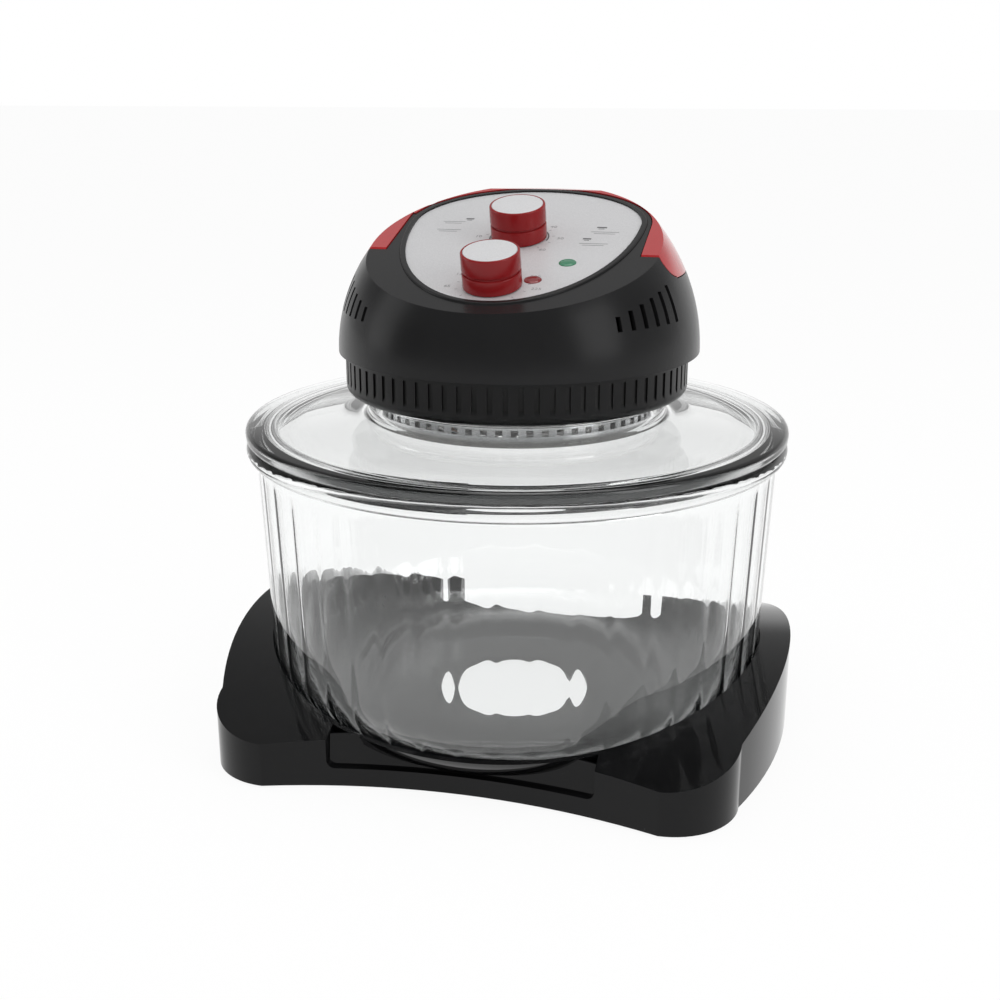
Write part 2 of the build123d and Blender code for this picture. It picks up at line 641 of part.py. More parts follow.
def side_vents():
    """Upright slots on both sides of the dome, longest beside the handle's arms."""
    slots = []
    for i in range(SIDE_VENTS):
        part = i / (SIDE_VENTS - 1)
        tall = VENT_LONG + (VENT_SHORT - VENT_LONG) * part
        turn = VENT_FIRST + VENT_STEP * i
        level = LIP_BOTTOM + VENT_RISE + tall / 2
        slot = Pos(DOME_HALF_WIDTH, 0, level) * Box(DOME_HALF_WIDTH, VENT_WIDTH, tall)
        slots += [Rot(0, 0, -turn) * slot, Rot(0, 0, 180 + turn) * slot]
    return slots


def dome_housing():
    """Upper housing: dome shell with a flange, a seat for the panel and a shelf for the handle."""
    swing = HANDLE_EAR + HANDLE_GAP
    flange_top = LIP_BOTTOM + DOME_WALL
    outside = dome_body(0) & below_panel(0)
    outside -= handle_zone(HANDLE_GAP) - handle_hub(0)
    outside -= pivot_rod(swing, HANDLE_SIDE - HANDLE_GAP, DOME_HALF_WIDTH + CUT)
    cavity = dome_body(DOME_WALL) & below_panel(-SEAT_BLOCK)
    cavity -= handle_zone(HANDLE_GAP + DOME_WALL, DOME_WALL) - handle_hub(-DOME_WALL)
    cavity -= pivot_rod(swing + DOME_WALL, HANDLE_SIDE - 2 * DOME_WALL, DOME_HALF_WIDTH)
    flange = rod(DOME_BACK + CUT, LIP_BOTTOM - CUT, flange_top)
    cavity -= flange - rod(SKIRT_RADIUS - DOME_FLANGE, LIP_BOTTOM - 2 * CUT, flange_top + CUT)
    body = outside - cavity
    body -= egg_prism(SURROUND_WIDTH + SEAT_GAP, -SURROUND_DEPTH - SEAT_GAP, SURROUND_DEPTH)
    body -= egg_prism(-PANEL_LEDGE, -SEAT_BLOCK - DOME_WALL, 0)
    for place in screw_places():
        body += rod(SCREW_BOSS, LIP_BOTTOM + DOME_WALL / 2, flange_top + SCREW_BITE + BOSS_END, place)
    for place in screw_places():
        body -= rod(SCREW_RADIUS + SEAT_GAP / 2, LIP_BOTTOM - CUT, flange_top + SCREW_BITE, place)
    body -= pivot_rod(PIN_RADIUS + SEAT_GAP / 2, PIN_START - CUT, PIN_END)
    for place in switch_places():
        body -= rod(PLUNGER_RADIUS + RUNNING_GAP, SHELF_BOTTOM - CUT, HANDLE_BOTTOM, place)
    body -= side_vents()
    gland_hole = Rot(90, 0, 0) * Cylinder(GLAND_RADIUS + SEAT_GAP, 2 * GLAND_LENGTH)
    return body - Pos(0, dome_back(GLAND_HEIGHT), GLAND_HEIGHT) * gland_hole


# ---------------------------------------------------------------- head: panel
def panel_surround():
    """Black frame round the panel, with a ledge that the panel lies on."""
    ring = egg_prism(SURROUND_WIDTH, -SURROUND_DEPTH, SURROUND_PROUD)
    ring = fillet(ring.edges().group_by(Axis(ring.center(), PANEL_NORMAL))[-1], SURROUND_PROUD)
    ring -= egg_prism(SEAT_GAP, -PANEL_THICK - SEAT_GAP, SURROUND_PROUD + CUT)
    return ring - egg_prism(-SURROUND_LEDGE, -SURROUND_DEPTH - CUT, 0)


def control_panel():
    """Silver plate with holes for two shafts and two lamps."""
    plate = egg_prism(0, -PANEL_THICK, 0)
    for v in (TIMER_PLACE, THERMOSTAT_PLACE):
        plate -= on_panel(0, v) * Cylinder(KNOB_SHAFT_RADIUS + PIECE_GAP, 4 * PANEL_THICK)
    for u, v in (GREEN_LAMP_PLACE, RED_LAMP_PLACE):
        plate -= on_panel(u, v) * Cylinder(LENS_RADIUS + SEAT_GAP, 4 * PANEL_THICK)
    return plate


def panel_disc(place, radius, low, high):
    """A round piece that stands square to the panel."""
    u, v = place
    return on_panel(u, v, (low + high) / 2) * Cylinder(radius, high - low)


def indicator_lens(place):
    """Round lens pushed through the panel from below, with a flange behind it."""
    top = LENS_PROUD
    flange_top = -PANEL_THICK - SEAT_GAP
    flange_bottom = flange_top - LENS_FLANGE
    stem = panel_disc(place, LENS_RADIUS, flange_top, top)
    flange = panel_disc(place, LENS_RADIUS + LENS_FLANGE, flange_bottom, flange_top)
    return stem + flange


def indicator_lamps():
    """Two neon lamps behind the lenses."""
    top = -PANEL_THICK - LENS_FLANGE - 2 * SEAT_GAP
    places = (GREEN_LAMP_PLACE, RED_LAMP_PLACE)
    return [panel_disc(place, LAMP_RADIUS, top - LAMP_LENGTH, top) for place in places]


def red_knob(v):
    """Knob body in two tiers with a groove between them and a bore for its shaft."""
    low = KNOB_STAND_OFF
    high = low + KNOB_HEIGHT
    middle = (low + high) / 2
    half = KNOB_GROOVE_WIDTH / 2
    knob = panel_disc((0, v), KNOB_RADIUS, low, middle - half)
    knob += panel_disc((0, v), KNOB_RADIUS - KNOB_GROOVE, middle - half, middle + half)
    knob += panel_disc((0, v), KNOB_RADIUS, middle + half, high)
    bore_top = low + KNOB_BORE_DEPTH
    return knob - panel_disc((0, v), KNOB_SHAFT_RADIUS + SEAT_GAP, low - CUT, bore_top)


def knob_cap(v):
    """Silver cap that covers a knob's top."""
    low = KNOB_STAND_OFF + KNOB_HEIGHT + SEAT_GAP
    return panel_disc((0, v), KNOB_RADIUS + KNOB_CAP_OVERHANG, low, low + KNOB_CAP_THICK)


def knob_shaft(v):
    """Shaft from the unit under the panel up into the knob."""
    top = KNOB_STAND_OFF + KNOB_BORE_DEPTH - SEAT_GAP
    return panel_disc((0, v), KNOB_SHAFT_RADIUS, -PANEL_THICK - SHAFT_GRIP, top)


def panel_unit(v, radius, depth):
    """Timer or thermostat: a can fixed under the panel, with a bushing that the shaft turns in."""
    top = -PANEL_THICK - SEAT_GAP
    can = panel_disc((0, v), radius, top - depth, top)
    bore = panel_disc((0, v), KNOB_SHAFT_RADIUS + RUNNING_GAP, top - SHAFT_GRIP - PIECE_GAP, top + CUT)
    return can - bore


# ---------------------------------------------------------------- head: switch and supply
def switch_places():
    """Both arms of the handle press a switch."""
    return [(side * (HANDLE_SIDE + PLUNGER_SPREAD), PIVOT_Y + PLUNGER_BACK) for side in (-1, 1)]


def switch_plunger(place):
    """Sprung pin that the resting handle holds down."""
    top = HANDLE_BOTTOM - PIECE_GAP
    return rod(PLUNGER_RADIUS, top - PLUNGER_LENGTH, top, place)


def safety_switch(place):
    """Switch body under the shelf, bored for its plunger."""
    wide, deep, tall = SWITCH_SIZE
    top = SHELF_BOTTOM - SEAT_GAP
    body = Pos(place[0], place[1], top - tall / 2) * Box(wide, deep, tall)
    return body - rod(PLUNGER_RADIUS + RUNNING_GAP, top - tall - CUT, top + CUT, place)


def dome_back(level):
    """How far behind the axis the dome's outside reaches at a height."""
    part = (level - LIP_BOTTOM) / DOME_HEIGHT
    return DOME_BACK * math.sqrt(1 - (DOME_BACK_CURVE * part) ** 2)


def cord_gland():
    """Bushing in the back of the dome where the supply cord goes in."""
    wall = dome_back(GLAND_HEIGHT - GLAND_RADIUS - GLAND_COLLAR)
    barrel = Rot(90, 0, 0) * Cylinder(GLAND_RADIUS, GLAND_LENGTH)
    collar = Rot(90, 0, 0) * Cylinder(GLAND_RADIUS + GLAND_COLLAR_WIDTH, GLAND_COLLAR)
    bore = Rot(90, 0, 0) * Cylinder(CORD_RADIUS, 2 * GLAND_LENGTH)
    barrel_y = wall + GLAND_COLLAR - GLAND_LENGTH / 2
    collar_y = wall + SEAT_GAP + GLAND_COLLAR / 2
    gland = Pos(0, barrel_y, GLAND_HEIGHT) * barrel + Pos(0, collar_y, GLAND_HEIGHT) * collar
    return gland - Pos(0, wall, GLAND_HEIGHT) * bore


def terminal_block():
    """Block on the skirt floor where the supply is joined to the switches."""
    wide, deep, tall = TERMINAL_SIZE
    low = SKIRT_FLOOR + SEAT_GAP
    middle = SHIELD_RADIUS + PIECE_GAP + deep / 2
    return Pos(0, middle, low + tall / 2) * Box(wide, deep, tall)


# ---------------------------------------------------------------- motor
def bracket_top():
    """Upper face of the motor bracket."""
    return MOTOR_BASE - END_PLATE - 2 * SEAT_GAP


def motor_bracket():
    """Crossed straps over the cooling fan, on four legs that stand on the skirt floor."""
    top = bracket_top()
    floor = SKIRT_FLOOR + SEAT_GAP
    strap = Pos(0, 0, top - BRACKET_SHEET / 2) * Box(2 * BRACKET_REACH, BRACKET_WIDTH, BRACKET_SHEET)
    leg_middle = Pos(BRACKET_REACH - BRACKET_SHEET / 2, 0, (top + floor) / 2)
    leg = leg_middle * Box(BRACKET_SHEET, BRACKET_WIDTH, top - floor)
    body = Rot(0, 0, 45) * strap + Rot(0, 0, -45) * strap
    for turn in around(360, 4, 0.5):
        body += turn * leg
    return body - rod(BEARING_RADIUS + SEAT_GAP, top - BRACKET_SHEET - CUT, top + CUT)


def motor_end_plates():
    """Plates under and over the stack that hold the bearings."""
    plate = Box(MOTOR_WIDTH, BRACKET_WIDTH, END_PLATE)
    hole = Cylinder(BEARING_RADIUS + SEAT_GAP, 2 * END_PLATE)
    low = MOTOR_BASE - SEAT_GAP - END_PLATE / 2
    high = MOTOR_BASE + MOTOR_STACK + SEAT_GAP + END_PLATE / 2
    return [Pos(0, 0, level) * (plate - hole) for level in (low, high)]


def motor_bearings():
    """Sleeve bearings of the motor."""
    low = MOTOR_BASE - SEAT_GAP - BEARING_LENGTH
    high = MOTOR_BASE + MOTOR_STACK + SEAT_GAP
    bore = SHAFT_RADIUS + RUNNING_GAP
    return [tube(BEARING_RADIUS, bore, level, level + BEARING_LENGTH) for level in (low, high)]


def coil_leg():
    """Middle of the stack's rear leg, which carries the coil."""
    return MOTOR_BORE + MOTOR_DEPTH / 2 - COIL_LEG / 2


def motor_stator():
    """Laminated stack with a bore for the rotor and a window for the coil."""
    middle = MOTOR_BASE + MOTOR_STACK / 2
    rear = coil_leg() + COIL_LEG / 2
    stack = Pos(0, rear - MOTOR_DEPTH / 2, middle) * Box(MOTOR_WIDTH, MOTOR_DEPTH, MOTOR_STACK)
    window_y = rear - COIL_LEG - COIL_BUILD / 2
    window = Pos(0, window_y, middle) * Box(COIL_WIDTH + 2 * PIECE_GAP, COIL_BUILD, 2 * MOTOR_STACK)
    return stack - window - rod(MOTOR_BORE, MOTOR_BASE - CUT, MOTOR_BASE + MOTOR_STACK + CUT)


def motor_coil():
    """Coil round the rear leg of the stack."""
    middle = MOTOR_BASE + MOTOR_STACK / 2
    build = COIL_BUILD - 2 * PIECE_GAP
    outer = Box(COIL_WIDTH, COIL_LEG + 2 * build, MOTOR_STACK + 2 * COIL_OVER)
    inner = Box(2 * COIL_WIDTH, COIL_LEG + 2 * SEAT_GAP, MOTOR_STACK + 2 * SEAT_GAP)
    return Pos(0, coil_leg(), middle) * (outer - inner)


def rotor_shaft():
    """Shaft through both fans and the motor."""
    return rod(SHAFT_RADIUS, HOT_FAN_BASE - SEAT_GAP - NUT_HEIGHT, SHAFT_TOP)


def motor_rotor():
    """Rotor pressed on the shaft."""
    bore = SHAFT_RADIUS + SEAT_GAP / 2
    low = MOTOR_BASE + PIECE_GAP
    return tube(MOTOR_BORE - ROTOR_PLAY, bore, low, low + MOTOR_STACK - 2 * PIECE_GAP)


def bladed_fan(radius, base, height, blades):
    """Fan with a hub, a round plate and pitched blades."""
    top = base + height
    body = rod(FAN_HUB, base, top) + rod(radius * FAN_DISC, top - FAN_SHEET, top)
    root = FAN_HUB - FAN_SHEET
    blade = Rot(FAN_PITCH, 0, 0) * Box(radius - root, FAN_SHEET, 2 * height)
    placed = Pos((root + radius) / 2, 0, base + height / 2) * blade
    body += [turn * placed for turn in around(360, blades)]
    body &= rod(radius, base, top)
    return body - rod(SHAFT_RADIUS + SEAT_GAP / 2, base - CUT, top + CUT)


def cooling_fan():
    """Fan that draws room air in through the skirt to cool the motor."""
    return bladed_fan(COOLING_FAN_RADIUS, COOLING_FAN_BASE, COOLING_FAN_HEIGHT, COOLING_BLADES)


def circulation_fan():
    """Fan over the guard that moves the hot air."""
    return bladed_fan(HOT_FAN_RADIUS, HOT_FAN_BASE, HOT_FAN_HEIGHT, HOT_BLADES)


def fan_nut():
    """Nut that holds the hot fan on the shaft."""
    top = HOT_FAN_BASE - SEAT_GAP
    nut = Pos(0, 0, top - NUT_HEIGHT) * extrude(RegularPolygon(NUT_RADIUS, 6), NUT_HEIGHT)
    return nut - rod(SHAFT_RADIUS + SEAT_GAP / 2, top - NUT_HEIGHT - CUT, top + CUT)


# ---------------------------------------------------------------- heater and guard
def reflector_plate():
    """Bright plate over the heater, with holes for the shaft, screws, heater ends and bulb."""
    low = REFLECTOR_BOTTOM
    above = SKIRT_BOTTOM + CUT
    plate = rod(REFLECTOR_RADIUS, low, low + REFLECTOR_SHEET)
    plate -= rod(SHAFT_RADIUS + SHAFT_HOLE_PLAY, low - CUT, above)
    for place in guard_screw_places():
        plate -= rod(GUARD_SCREW_RADIUS + SEAT_GAP, low - CUT, above, place)
    for place in heater_end_places():
        plate -= rod(END_CAP_RADIUS + SEAT_GAP, low - CUT, above, place)
    return plate - rod(BULB_RADIUS + SEAT_GAP, low - CUT, above, BULB_PLACE)


def heat_shield():
    """Shallow pan over the reflector that keeps the heat out of the dome."""
    low = SKIRT_FLOOR + SEAT_GAP
    top = low + SHIELD_HEIGHT
    pan = rod(SHIELD_RADIUS, low, top)
    pan -= rod(SHIELD_RADIUS - REFLECTOR_SHEET, low - CUT, top - REFLECTOR_SHEET)
    return pan - rod(SHAFT_RADIUS + SHAFT_HOLE_PLAY, low, top + CUT)


def heater_end_places():
    """Middle of the two ends of the heating ring, at the back."""
    places = []
    for side in (-1, 1):
        angle = math.radians(90 + side * HEATER_OPENING / 2)
        places.append((HEATER_RADIUS * math.cos(angle), HEATER_RADIUS * math.sin(angle)))
    return places


def heater_tube(grow):
    """The heating ring as a solid, grown by a clearance."""
    spot = Plane.XZ * Pos(HEATER_RADIUS, HEATER_LEVEL) * Circle(HEATER_TUBE + grow)
    ring = revolve(spot, Axis.Z, revolution_arc=360 - HEATER_OPENING)
    return Rot(0, 0, 90 + HEATER_OPENING / 2) * ring


def end_caps():
    """Ceramic caps at the ends of the ring, standing up through the reflector."""
    low = HEATER_LEVEL - END_CAP_RADIUS
    hole = heater_tube(SEAT_GAP)
    return [rod(END_CAP_RADIUS, low, SKIRT_FLOOR, place) - hole for place in heater_end_places()]


def heater_clips():
    """Three sheet hangers that carry the ring under the reflector."""
    top = REFLECTOR_BOTTOM - SEAT_GAP
    low = HEATER_LEVEL - HEATER_TUBE - CLIP_WALL
    hanger = Box(2 * (HEATER_TUBE + CLIP_WALL), CLIP_SHEET, top - low)
    hole = Rot(90, 0, 0) * Cylinder(HEATER_TUBE + SEAT_GAP, 4 * CLIP_SHEET)
    rise = (top + low) / 2 - HEATER_LEVEL
    clip = Pos(HEATER_RADIUS, 0, HEATER_LEVEL) * (Pos(0, 0, rise) * hanger - hole)
    return [Rot(0, 0, turn) * clip for turn in CLIP_TURNS]


def thermostat_bulb():
    """Sensing bulb with a collar that sits on the reflector."""
    seat = SKIRT_BOTTOM
    stem = rod(BULB_RADIUS, HOT_FAN_BASE, seat + BULB_COLLAR, BULB_PLACE)
    return stem + rod(BULB_RADIUS + BULB_COLLAR, seat, seat + BULB_COLLAR, BULB_PLACE)


def fan_guard():
    """Pressed guard: flange under the glass lip, punched wall and slotted bottom."""
    low = GUARD_TOP - GUARD_DEPTH
    inside = GUARD_RADIUS - GUARD_SHEET
    body = rod(GUARD_RADIUS, low, GUARD_TOP) - rod(inside, low + GUARD_SHEET, GUARD_TOP + CUT)
    body += tube(GUARD_FLANGE_OUTSIDE, GUARD_FLANGE_INSIDE, GUARD_TOP - GUARD_SHEET, GUARD_TOP)
    hole_level = GUARD_TOP - GUARD_HOLE_DROP
    hole = Pos(GUARD_RADIUS, 0, hole_level) * Box(4 * GUARD_SHEET, GUARD_HOLE, GUARD_HOLE)
    body -= [turn * hole for turn in around(360, GUARD_HOLES)]
    slot_length = GUARD_FLANGE_INSIDE - GUARD_HUB
    slot = Pos(GUARD_HUB + slot_length / 2, 0, low) * Box(slot_length, GUARD_SLOT, 4 * GUARD_SHEET)
    body -= [turn * slot for turn in around(360, GUARD_SPOKES)]
    for place in guard_screw_places():
        body -= rod(GUARD_SCREW_RADIUS + SEAT_GAP, GUARD_TOP - GUARD_SHEET - CUT, GUARD_TOP + CUT, place)
    return body


def guard_spacers():
    """Sleeves between the guard's flange and the reflector."""
    low = GUARD_TOP + SEAT_GAP
    top = REFLECTOR_BOTTOM - SEAT_GAP
    inner = GUARD_SCREW_RADIUS + SEAT_GAP
    return [tube(inner + SPACER_WALL, inner, low, top, place) for place in guard_screw_places()]


def guard_screws():
    """Four screws up through the guard, sleeves and reflector into the skirt floor."""
    seat = GUARD_TOP - GUARD_SHEET - SEAT_GAP
    screws = []
    for place in guard_screw_places():
        head = rod(GUARD_SCREW_HEAD, seat - GUARD_SCREW_HEAD_THICK, seat, place)
        screws.append(head + rod(GUARD_SCREW_RADIUS, seat, SKIRT_FLOOR, place))
    return screws


def build():
    """Write every node."""
    os.makedirs("parts", exist_ok=True)
    save("stand_shell", stand_shell())
    save("stand_feet", *stand_feet())
    save("glass_bowl", glass_bowl())
    save("lid_glass", lid_glass())
    save("neck_gasket", neck_gasket())
    save("skirt_housing", skirt_housing())
    save("housing_screws", *housing_screws())
    save("dome_housing", dome_housing())
    save("carry_handle", carry_handle())
    save("pivot_pins", *pivot_pins())
    save("panel_surround", panel_surround())
    save("control_panel", control_panel())
    save("green_indicator_lens", indicator_lens(GREEN_LAMP_PLACE))
    save("red_indicator_lens", indicator_lens(RED_LAMP_PLACE))
    save("indicator_lamps", *indicator_lamps())
    save("timer_knob", red_knob(TIMER_PLACE))
    save("timer_knob_cap", knob_cap(TIMER_PLACE))
    save("timer_shaft", knob_shaft(TIMER_PLACE))
    save("thermostat_knob", red_knob(THERMOSTAT_PLACE))
    save("thermostat_knob_cap", knob_cap(THERMOSTAT_PLACE))
    save("thermostat_shaft", knob_shaft(THERMOSTAT_PLACE))
    save("timer_unit", panel_unit(TIMER_PLACE, TIMER_RADIUS, TIMER_DEPTH))
    save("thermostat_unit", panel_unit(THERMOSTAT_PLACE, THERMOSTAT_RADIUS, THERMOSTAT_DEPTH))
    save("thermostat_bulb", thermostat_bulb())
    for side, place in zip(("left", "right"), switch_places()):
        save(side + "_safety_switch", safety_switch(place))
        save(side + "_switch_plunger", switch_plunger(place))
    save("cord_gland", cord_gland())
    save("terminal_block", terminal_block())
    save("motor_bracket", motor_bracket())
    save("motor_end_plates", *motor_end_plates())
    save("motor_bearings", *motor_bearings())
    save("motor_stator", motor_stator())
    save("motor_coil", motor_coil())
    save("motor_rotor", motor_rotor())
    save("rotor_shaft", rotor_shaft())
    save("cooling_fan", cooling_fan())
    save("circulation_fan", circulation_fan())
    save("fan_nut", fan_nut())
    save("reflector_plate", reflector_plate())
    save("heat_shield", heat_shield())
    save("halogen_ring", heater_tube(0))
    save("heater_end_caps", *end_caps())
    save("heater_clips", *heater_clips())
    save("fan_guard", fan_guard())
    save("guard_spacers", *guard_spacers())
    save("guard_screws", *guard_screws())


build()
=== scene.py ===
import math

import bmesh
import bpy
from mathutils import Matrix, Vector


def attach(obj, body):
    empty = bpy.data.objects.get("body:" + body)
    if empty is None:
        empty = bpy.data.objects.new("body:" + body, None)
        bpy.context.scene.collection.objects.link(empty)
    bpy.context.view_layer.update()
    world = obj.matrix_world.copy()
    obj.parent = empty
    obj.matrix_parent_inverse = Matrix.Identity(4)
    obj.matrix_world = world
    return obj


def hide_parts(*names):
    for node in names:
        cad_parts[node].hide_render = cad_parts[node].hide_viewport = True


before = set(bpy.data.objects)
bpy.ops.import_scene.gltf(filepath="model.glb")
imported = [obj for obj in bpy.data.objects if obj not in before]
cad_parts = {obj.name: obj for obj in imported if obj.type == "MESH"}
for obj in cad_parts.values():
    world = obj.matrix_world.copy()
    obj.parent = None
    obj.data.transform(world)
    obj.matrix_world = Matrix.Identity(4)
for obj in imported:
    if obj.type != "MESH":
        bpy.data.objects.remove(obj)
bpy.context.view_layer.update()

# Halogen oven: black stand, fluted glass bowl, glass lid and a black head with a silver panel.
# Metres, +Z up, the front is -Y.  Lengths below are written in millimetres and scaled by MM.
MM = 0.001

# ---------------------------------------------------------------- sizes shared with the frame
# The tilted panel, and places across and up its face
PANEL_HEIGHT = 295.0
PANEL_TILT = math.radians(16.0)
PANEL_FRAME = Matrix.Translation((0, 0, PANEL_HEIGHT * MM)) @ Matrix.Rotation(PANEL_TILT, 4, "X")
TIMER_PLACE = (0.0, 5.5)
THERMOSTAT_PLACE = (0.0, -64.0)
GREEN_PLACE = (36.0, -30.0)
RED_PLACE = (21.0, -55.0)

# Steps round the axis
FLUTES, FLUTE_STEPS = 44, 12
LID_STEPS = 240
KNOB_STEPS = 96
LENS_STEPS = 48

# Stand: its deck is lowest at the front and rises to both sides
DECK_EDGE, DECK_RISE, DECK_POWER = 26.5, 28.0, 2.2
DECK_FALL, DECK_BACK_FALL = 0.33, 0.08
WELL_CENTRE, WELL_RADIUS = (110.5, 55.3), 47.0
WEB_CENTRE, WEB_RADIUS, WEB_HALF_WIDTH, WEB_STEPS = -516.5, 383.0, 76.6, 56
WEB_LOW, WEB_LEAN, WEB_THICKNESS = 12.3, 0.12, 1.6
WEB_BELOW_DECK, WEB_LEAST_TOP, WEB_LEANS_FROM = 0.4, 13.0, 12.0

# Bowl: a flat base, a round heel, a wall that opens by WALL_SPREAD over WALL_RISE, and a rim bead
BOWL_RADIUS = 159.0
BASE_LOW, BASE_HIGH = 11.3, 15.8
HEEL_CENTRE, HEEL_OUTSIDE, HEEL_INSIDE = (110.5, 55.3), 44.0, 39.5
WALL_OUTSIDE, WALL_INSIDE = 154.5, 150.0
WALL_SPREAD, WALL_RISE = 4.5, 115.7
BEAD_CENTRE, BEAD_RADIUS = (160.2, 175.8), 4.7
FLUTE_HEIGHT, FLUTE_CROWDING = 0.45, 0.55
FLUTE_INNER, FLUTE_FADE_IN = 112.0, 34.0
FLUTE_TOP, FLUTE_FADE_OUT = 171.0, 12.0
FLUTE_LOWEST, FLUTE_NEAREST, FLUTE_FULL = 15.0, 60.0, 56.0
FLUTE_SLACK, FLUTE_SHARPNESS = 0.3, 3

# Skirt
SKIRT_LOW, SKIRT_TOP = 206.9, 230.8
SKIRT_WIDE, SKIRT_OPENING = 103.5, 84.0
SKIRT_ROUND, SKIRT_THICK, SKIRT_CHAMFER, SKIRT_SLACK = 5.0, 2.5, 0.4, 0.2
VENTS = 76
VENT_WIDTH, VENT_DEPTH = 3.2, 1.0
VENT_LOW, VENT_HIGH, VENT_SILL = 213.2, 228.6, 2.6
VENT_LIP, VENT_FOOT, VENT_MATCH = 0.25, 1.0, 0.1

# Knobs, above the panel's face
KNOB_LOW, KNOB_GROOVE, KNOB_HIGH, KNOB_WIDE = 0.4, 9.6, 21.0, 16.7
KNOB_BORE, KNOB_BORE_TOP = 3.1, 13.4
CAP_SEAT, CAP_GAP = 18.42, 0.08

# Lens stems and the panel's printing
LENS_HOLE, LENS_FLANGE = 5.0, 6.5
SCALE_TICKS, SCALE_START, TICK_STEP, TICK_RADIUS = 11, 225.0, 27.0, 20.5
TICK_LENGTH, TICK_WIDTH = 1.6, 0.4
PRINT_LEVEL, PRINT_THICKNESS = 0.05, 0.06
BAND_OVERLAP = 1.08

# Plain marks, and pairs of thin lines, on the panel: across, up, length
MARKS = ((-37.0, 33.0, 5.0), (47.0, 24.0, 6.0), (41.0, 6.0, 5.0))
NOTES = ((-46.0, 28.0, 14.0), (-46.0, 15.0, 15.0), (50.0, 17.0, 17.0), (46.0, -1.0, 17.0))
MARK_WIDTH, TAIL_DROP, TAIL_SHARE, TAIL_WIDTH = 1.6, 2.2, 0.6, 0.7
LINE_DROP, LINE_SHORTER, LINE_WIDTH = 2.6, 0.25, 0.55


# ---------------------------------------------------------------- camera
CAMERA_PLACE = (0.1777, -0.7800, 0.3853)
CAMERA_DIP, CAMERA_TURN = 0.3047, 0.2368    # radians, below level and towards -X
CAMERA_LENS, CAMERA_SENSOR = 47.9, 36.0     # millimetres


def set_camera():
    """One camera, in front of the oven and a little to its right."""
    data = bpy.data.cameras.new("camera")
    data.lens = CAMERA_LENS
    data.sensor_width = CAMERA_SENSOR
    data.clip_start, data.clip_end = 0.02, 60.0
    camera = bpy.data.objects.new("camera", data)
    bpy.context.scene.collection.objects.link(camera)
    camera.location = CAMERA_PLACE
    camera.rotation_euler = (math.pi / 2 - CAMERA_DIP, 0.0, CAMERA_TURN)
    bpy.context.scene.camera = camera


# ---------------------------------------------------------------- node helpers
# Sockets of the mix node when it mixes colours
MIX_MASK, MIX_FIRST, MIX_SECOND, MIX_RESULT = 0, 6, 7, 2


def add(tree, kind, **settings):
    """A node with its settings; keys that name an input set that input's value."""
    node = tree.nodes.new(kind)
    for key, value in settings.items():
        if hasattr(node, key):
            setattr(node, key, value)
        else:
            node.inputs[key.replace("_", " ")].default_value = value
    return node


def join(tree, start, end):
    """Link an output to an input."""
    tree.links.new(start, end)


def feed(tree, source, socket):
    """Drive a socket from another socket, or give it a plain value."""
    if isinstance(source, bpy.types.NodeSocket):
        join(tree, source, socket)
    else:
        socket.default_value = source


def calculate(tree, operation, first, second=0.0, clamp=False):
    """The result of a sum on two values, each a socket or a number."""
    node = add(tree, "ShaderNodeMath", operation=operation, use_clamp=clamp)
    feed(tree, first, node.inputs[0])
    feed(tree, second, node.inputs[1])
    return node.outputs[0]


def run_between(tree, value, start, end, low=0.0, high=1.0, shape="SMOOTHSTEP"):
    """A value that runs from low to high while another goes from start to end."""
    node = add(tree, "ShaderNodeMapRange", interpolation_type=shape)
    for label, amount in (("From Min", start), ("From Max", end), ("To Min", low), ("To Max", high)):
        node.inputs[label].default_value = amount
    join(tree, value, node.inputs["Value"])
    return node.outputs["Result"]


def mix_colours(tree, mask, first, second):
    """A colour that runs from first to second as the mask goes from 0 to 1."""
    node = add(tree, "ShaderNodeMix", data_type="RGBA")
    feed(tree, mask, node.inputs[MIX_MASK])
    feed(tree, first, node.inputs[MIX_FIRST])
    feed(tree, second, node.inputs[MIX_SECOND])
    return node.outputs[MIX_RESULT]


def object_parts(tree):
    """X, Y and Z of a point in the piece's own frame, in metres."""
    place = add(tree, "ShaderNodeTexCoord")
    parts = add(tree, "ShaderNodeSeparateXYZ")
    join(tree, place.outputs["Object"], parts.inputs[0])
    return parts.outputs


def effect_group(name, inputs, outputs):
    """An empty node group with named sockets."""
    group = bpy.data.node_groups.new(name, "ShaderNodeTree")
    for label, kind, value in inputs:
        socket = group.interface.new_socket(name=label, in_out="INPUT", socket_type=kind)
        socket.default_value = value
    for label, kind in outputs:
        group.interface.new_socket(name=label, in_out="OUTPUT", socket_type=kind)
    start = group.nodes.new("NodeGroupInput")
    end = group.nodes.new("NodeGroupOutput")
    return group, start, end


def place_group(tree, group, **values):
    """A group node; keys name its inputs, with _ for a space."""
    node = tree.nodes.new("ShaderNodeGroup")
    node.node_tree = group
    for key, value in values.items():
        node.inputs[key.replace("_", " ")].default_value = value
    return node


def swung_roughness(group, start, noise):
    """The group's roughness, moved up and down by its spread with a noise value."""
    centred = calculate(group, "SUBTRACT", noise, 0.5)
    swing = calculate(group, "MULTIPLY", centred, start.outputs["Spread"])
    return calculate(group, "ADD", swing, start.outputs["Roughness"], clamp=True)


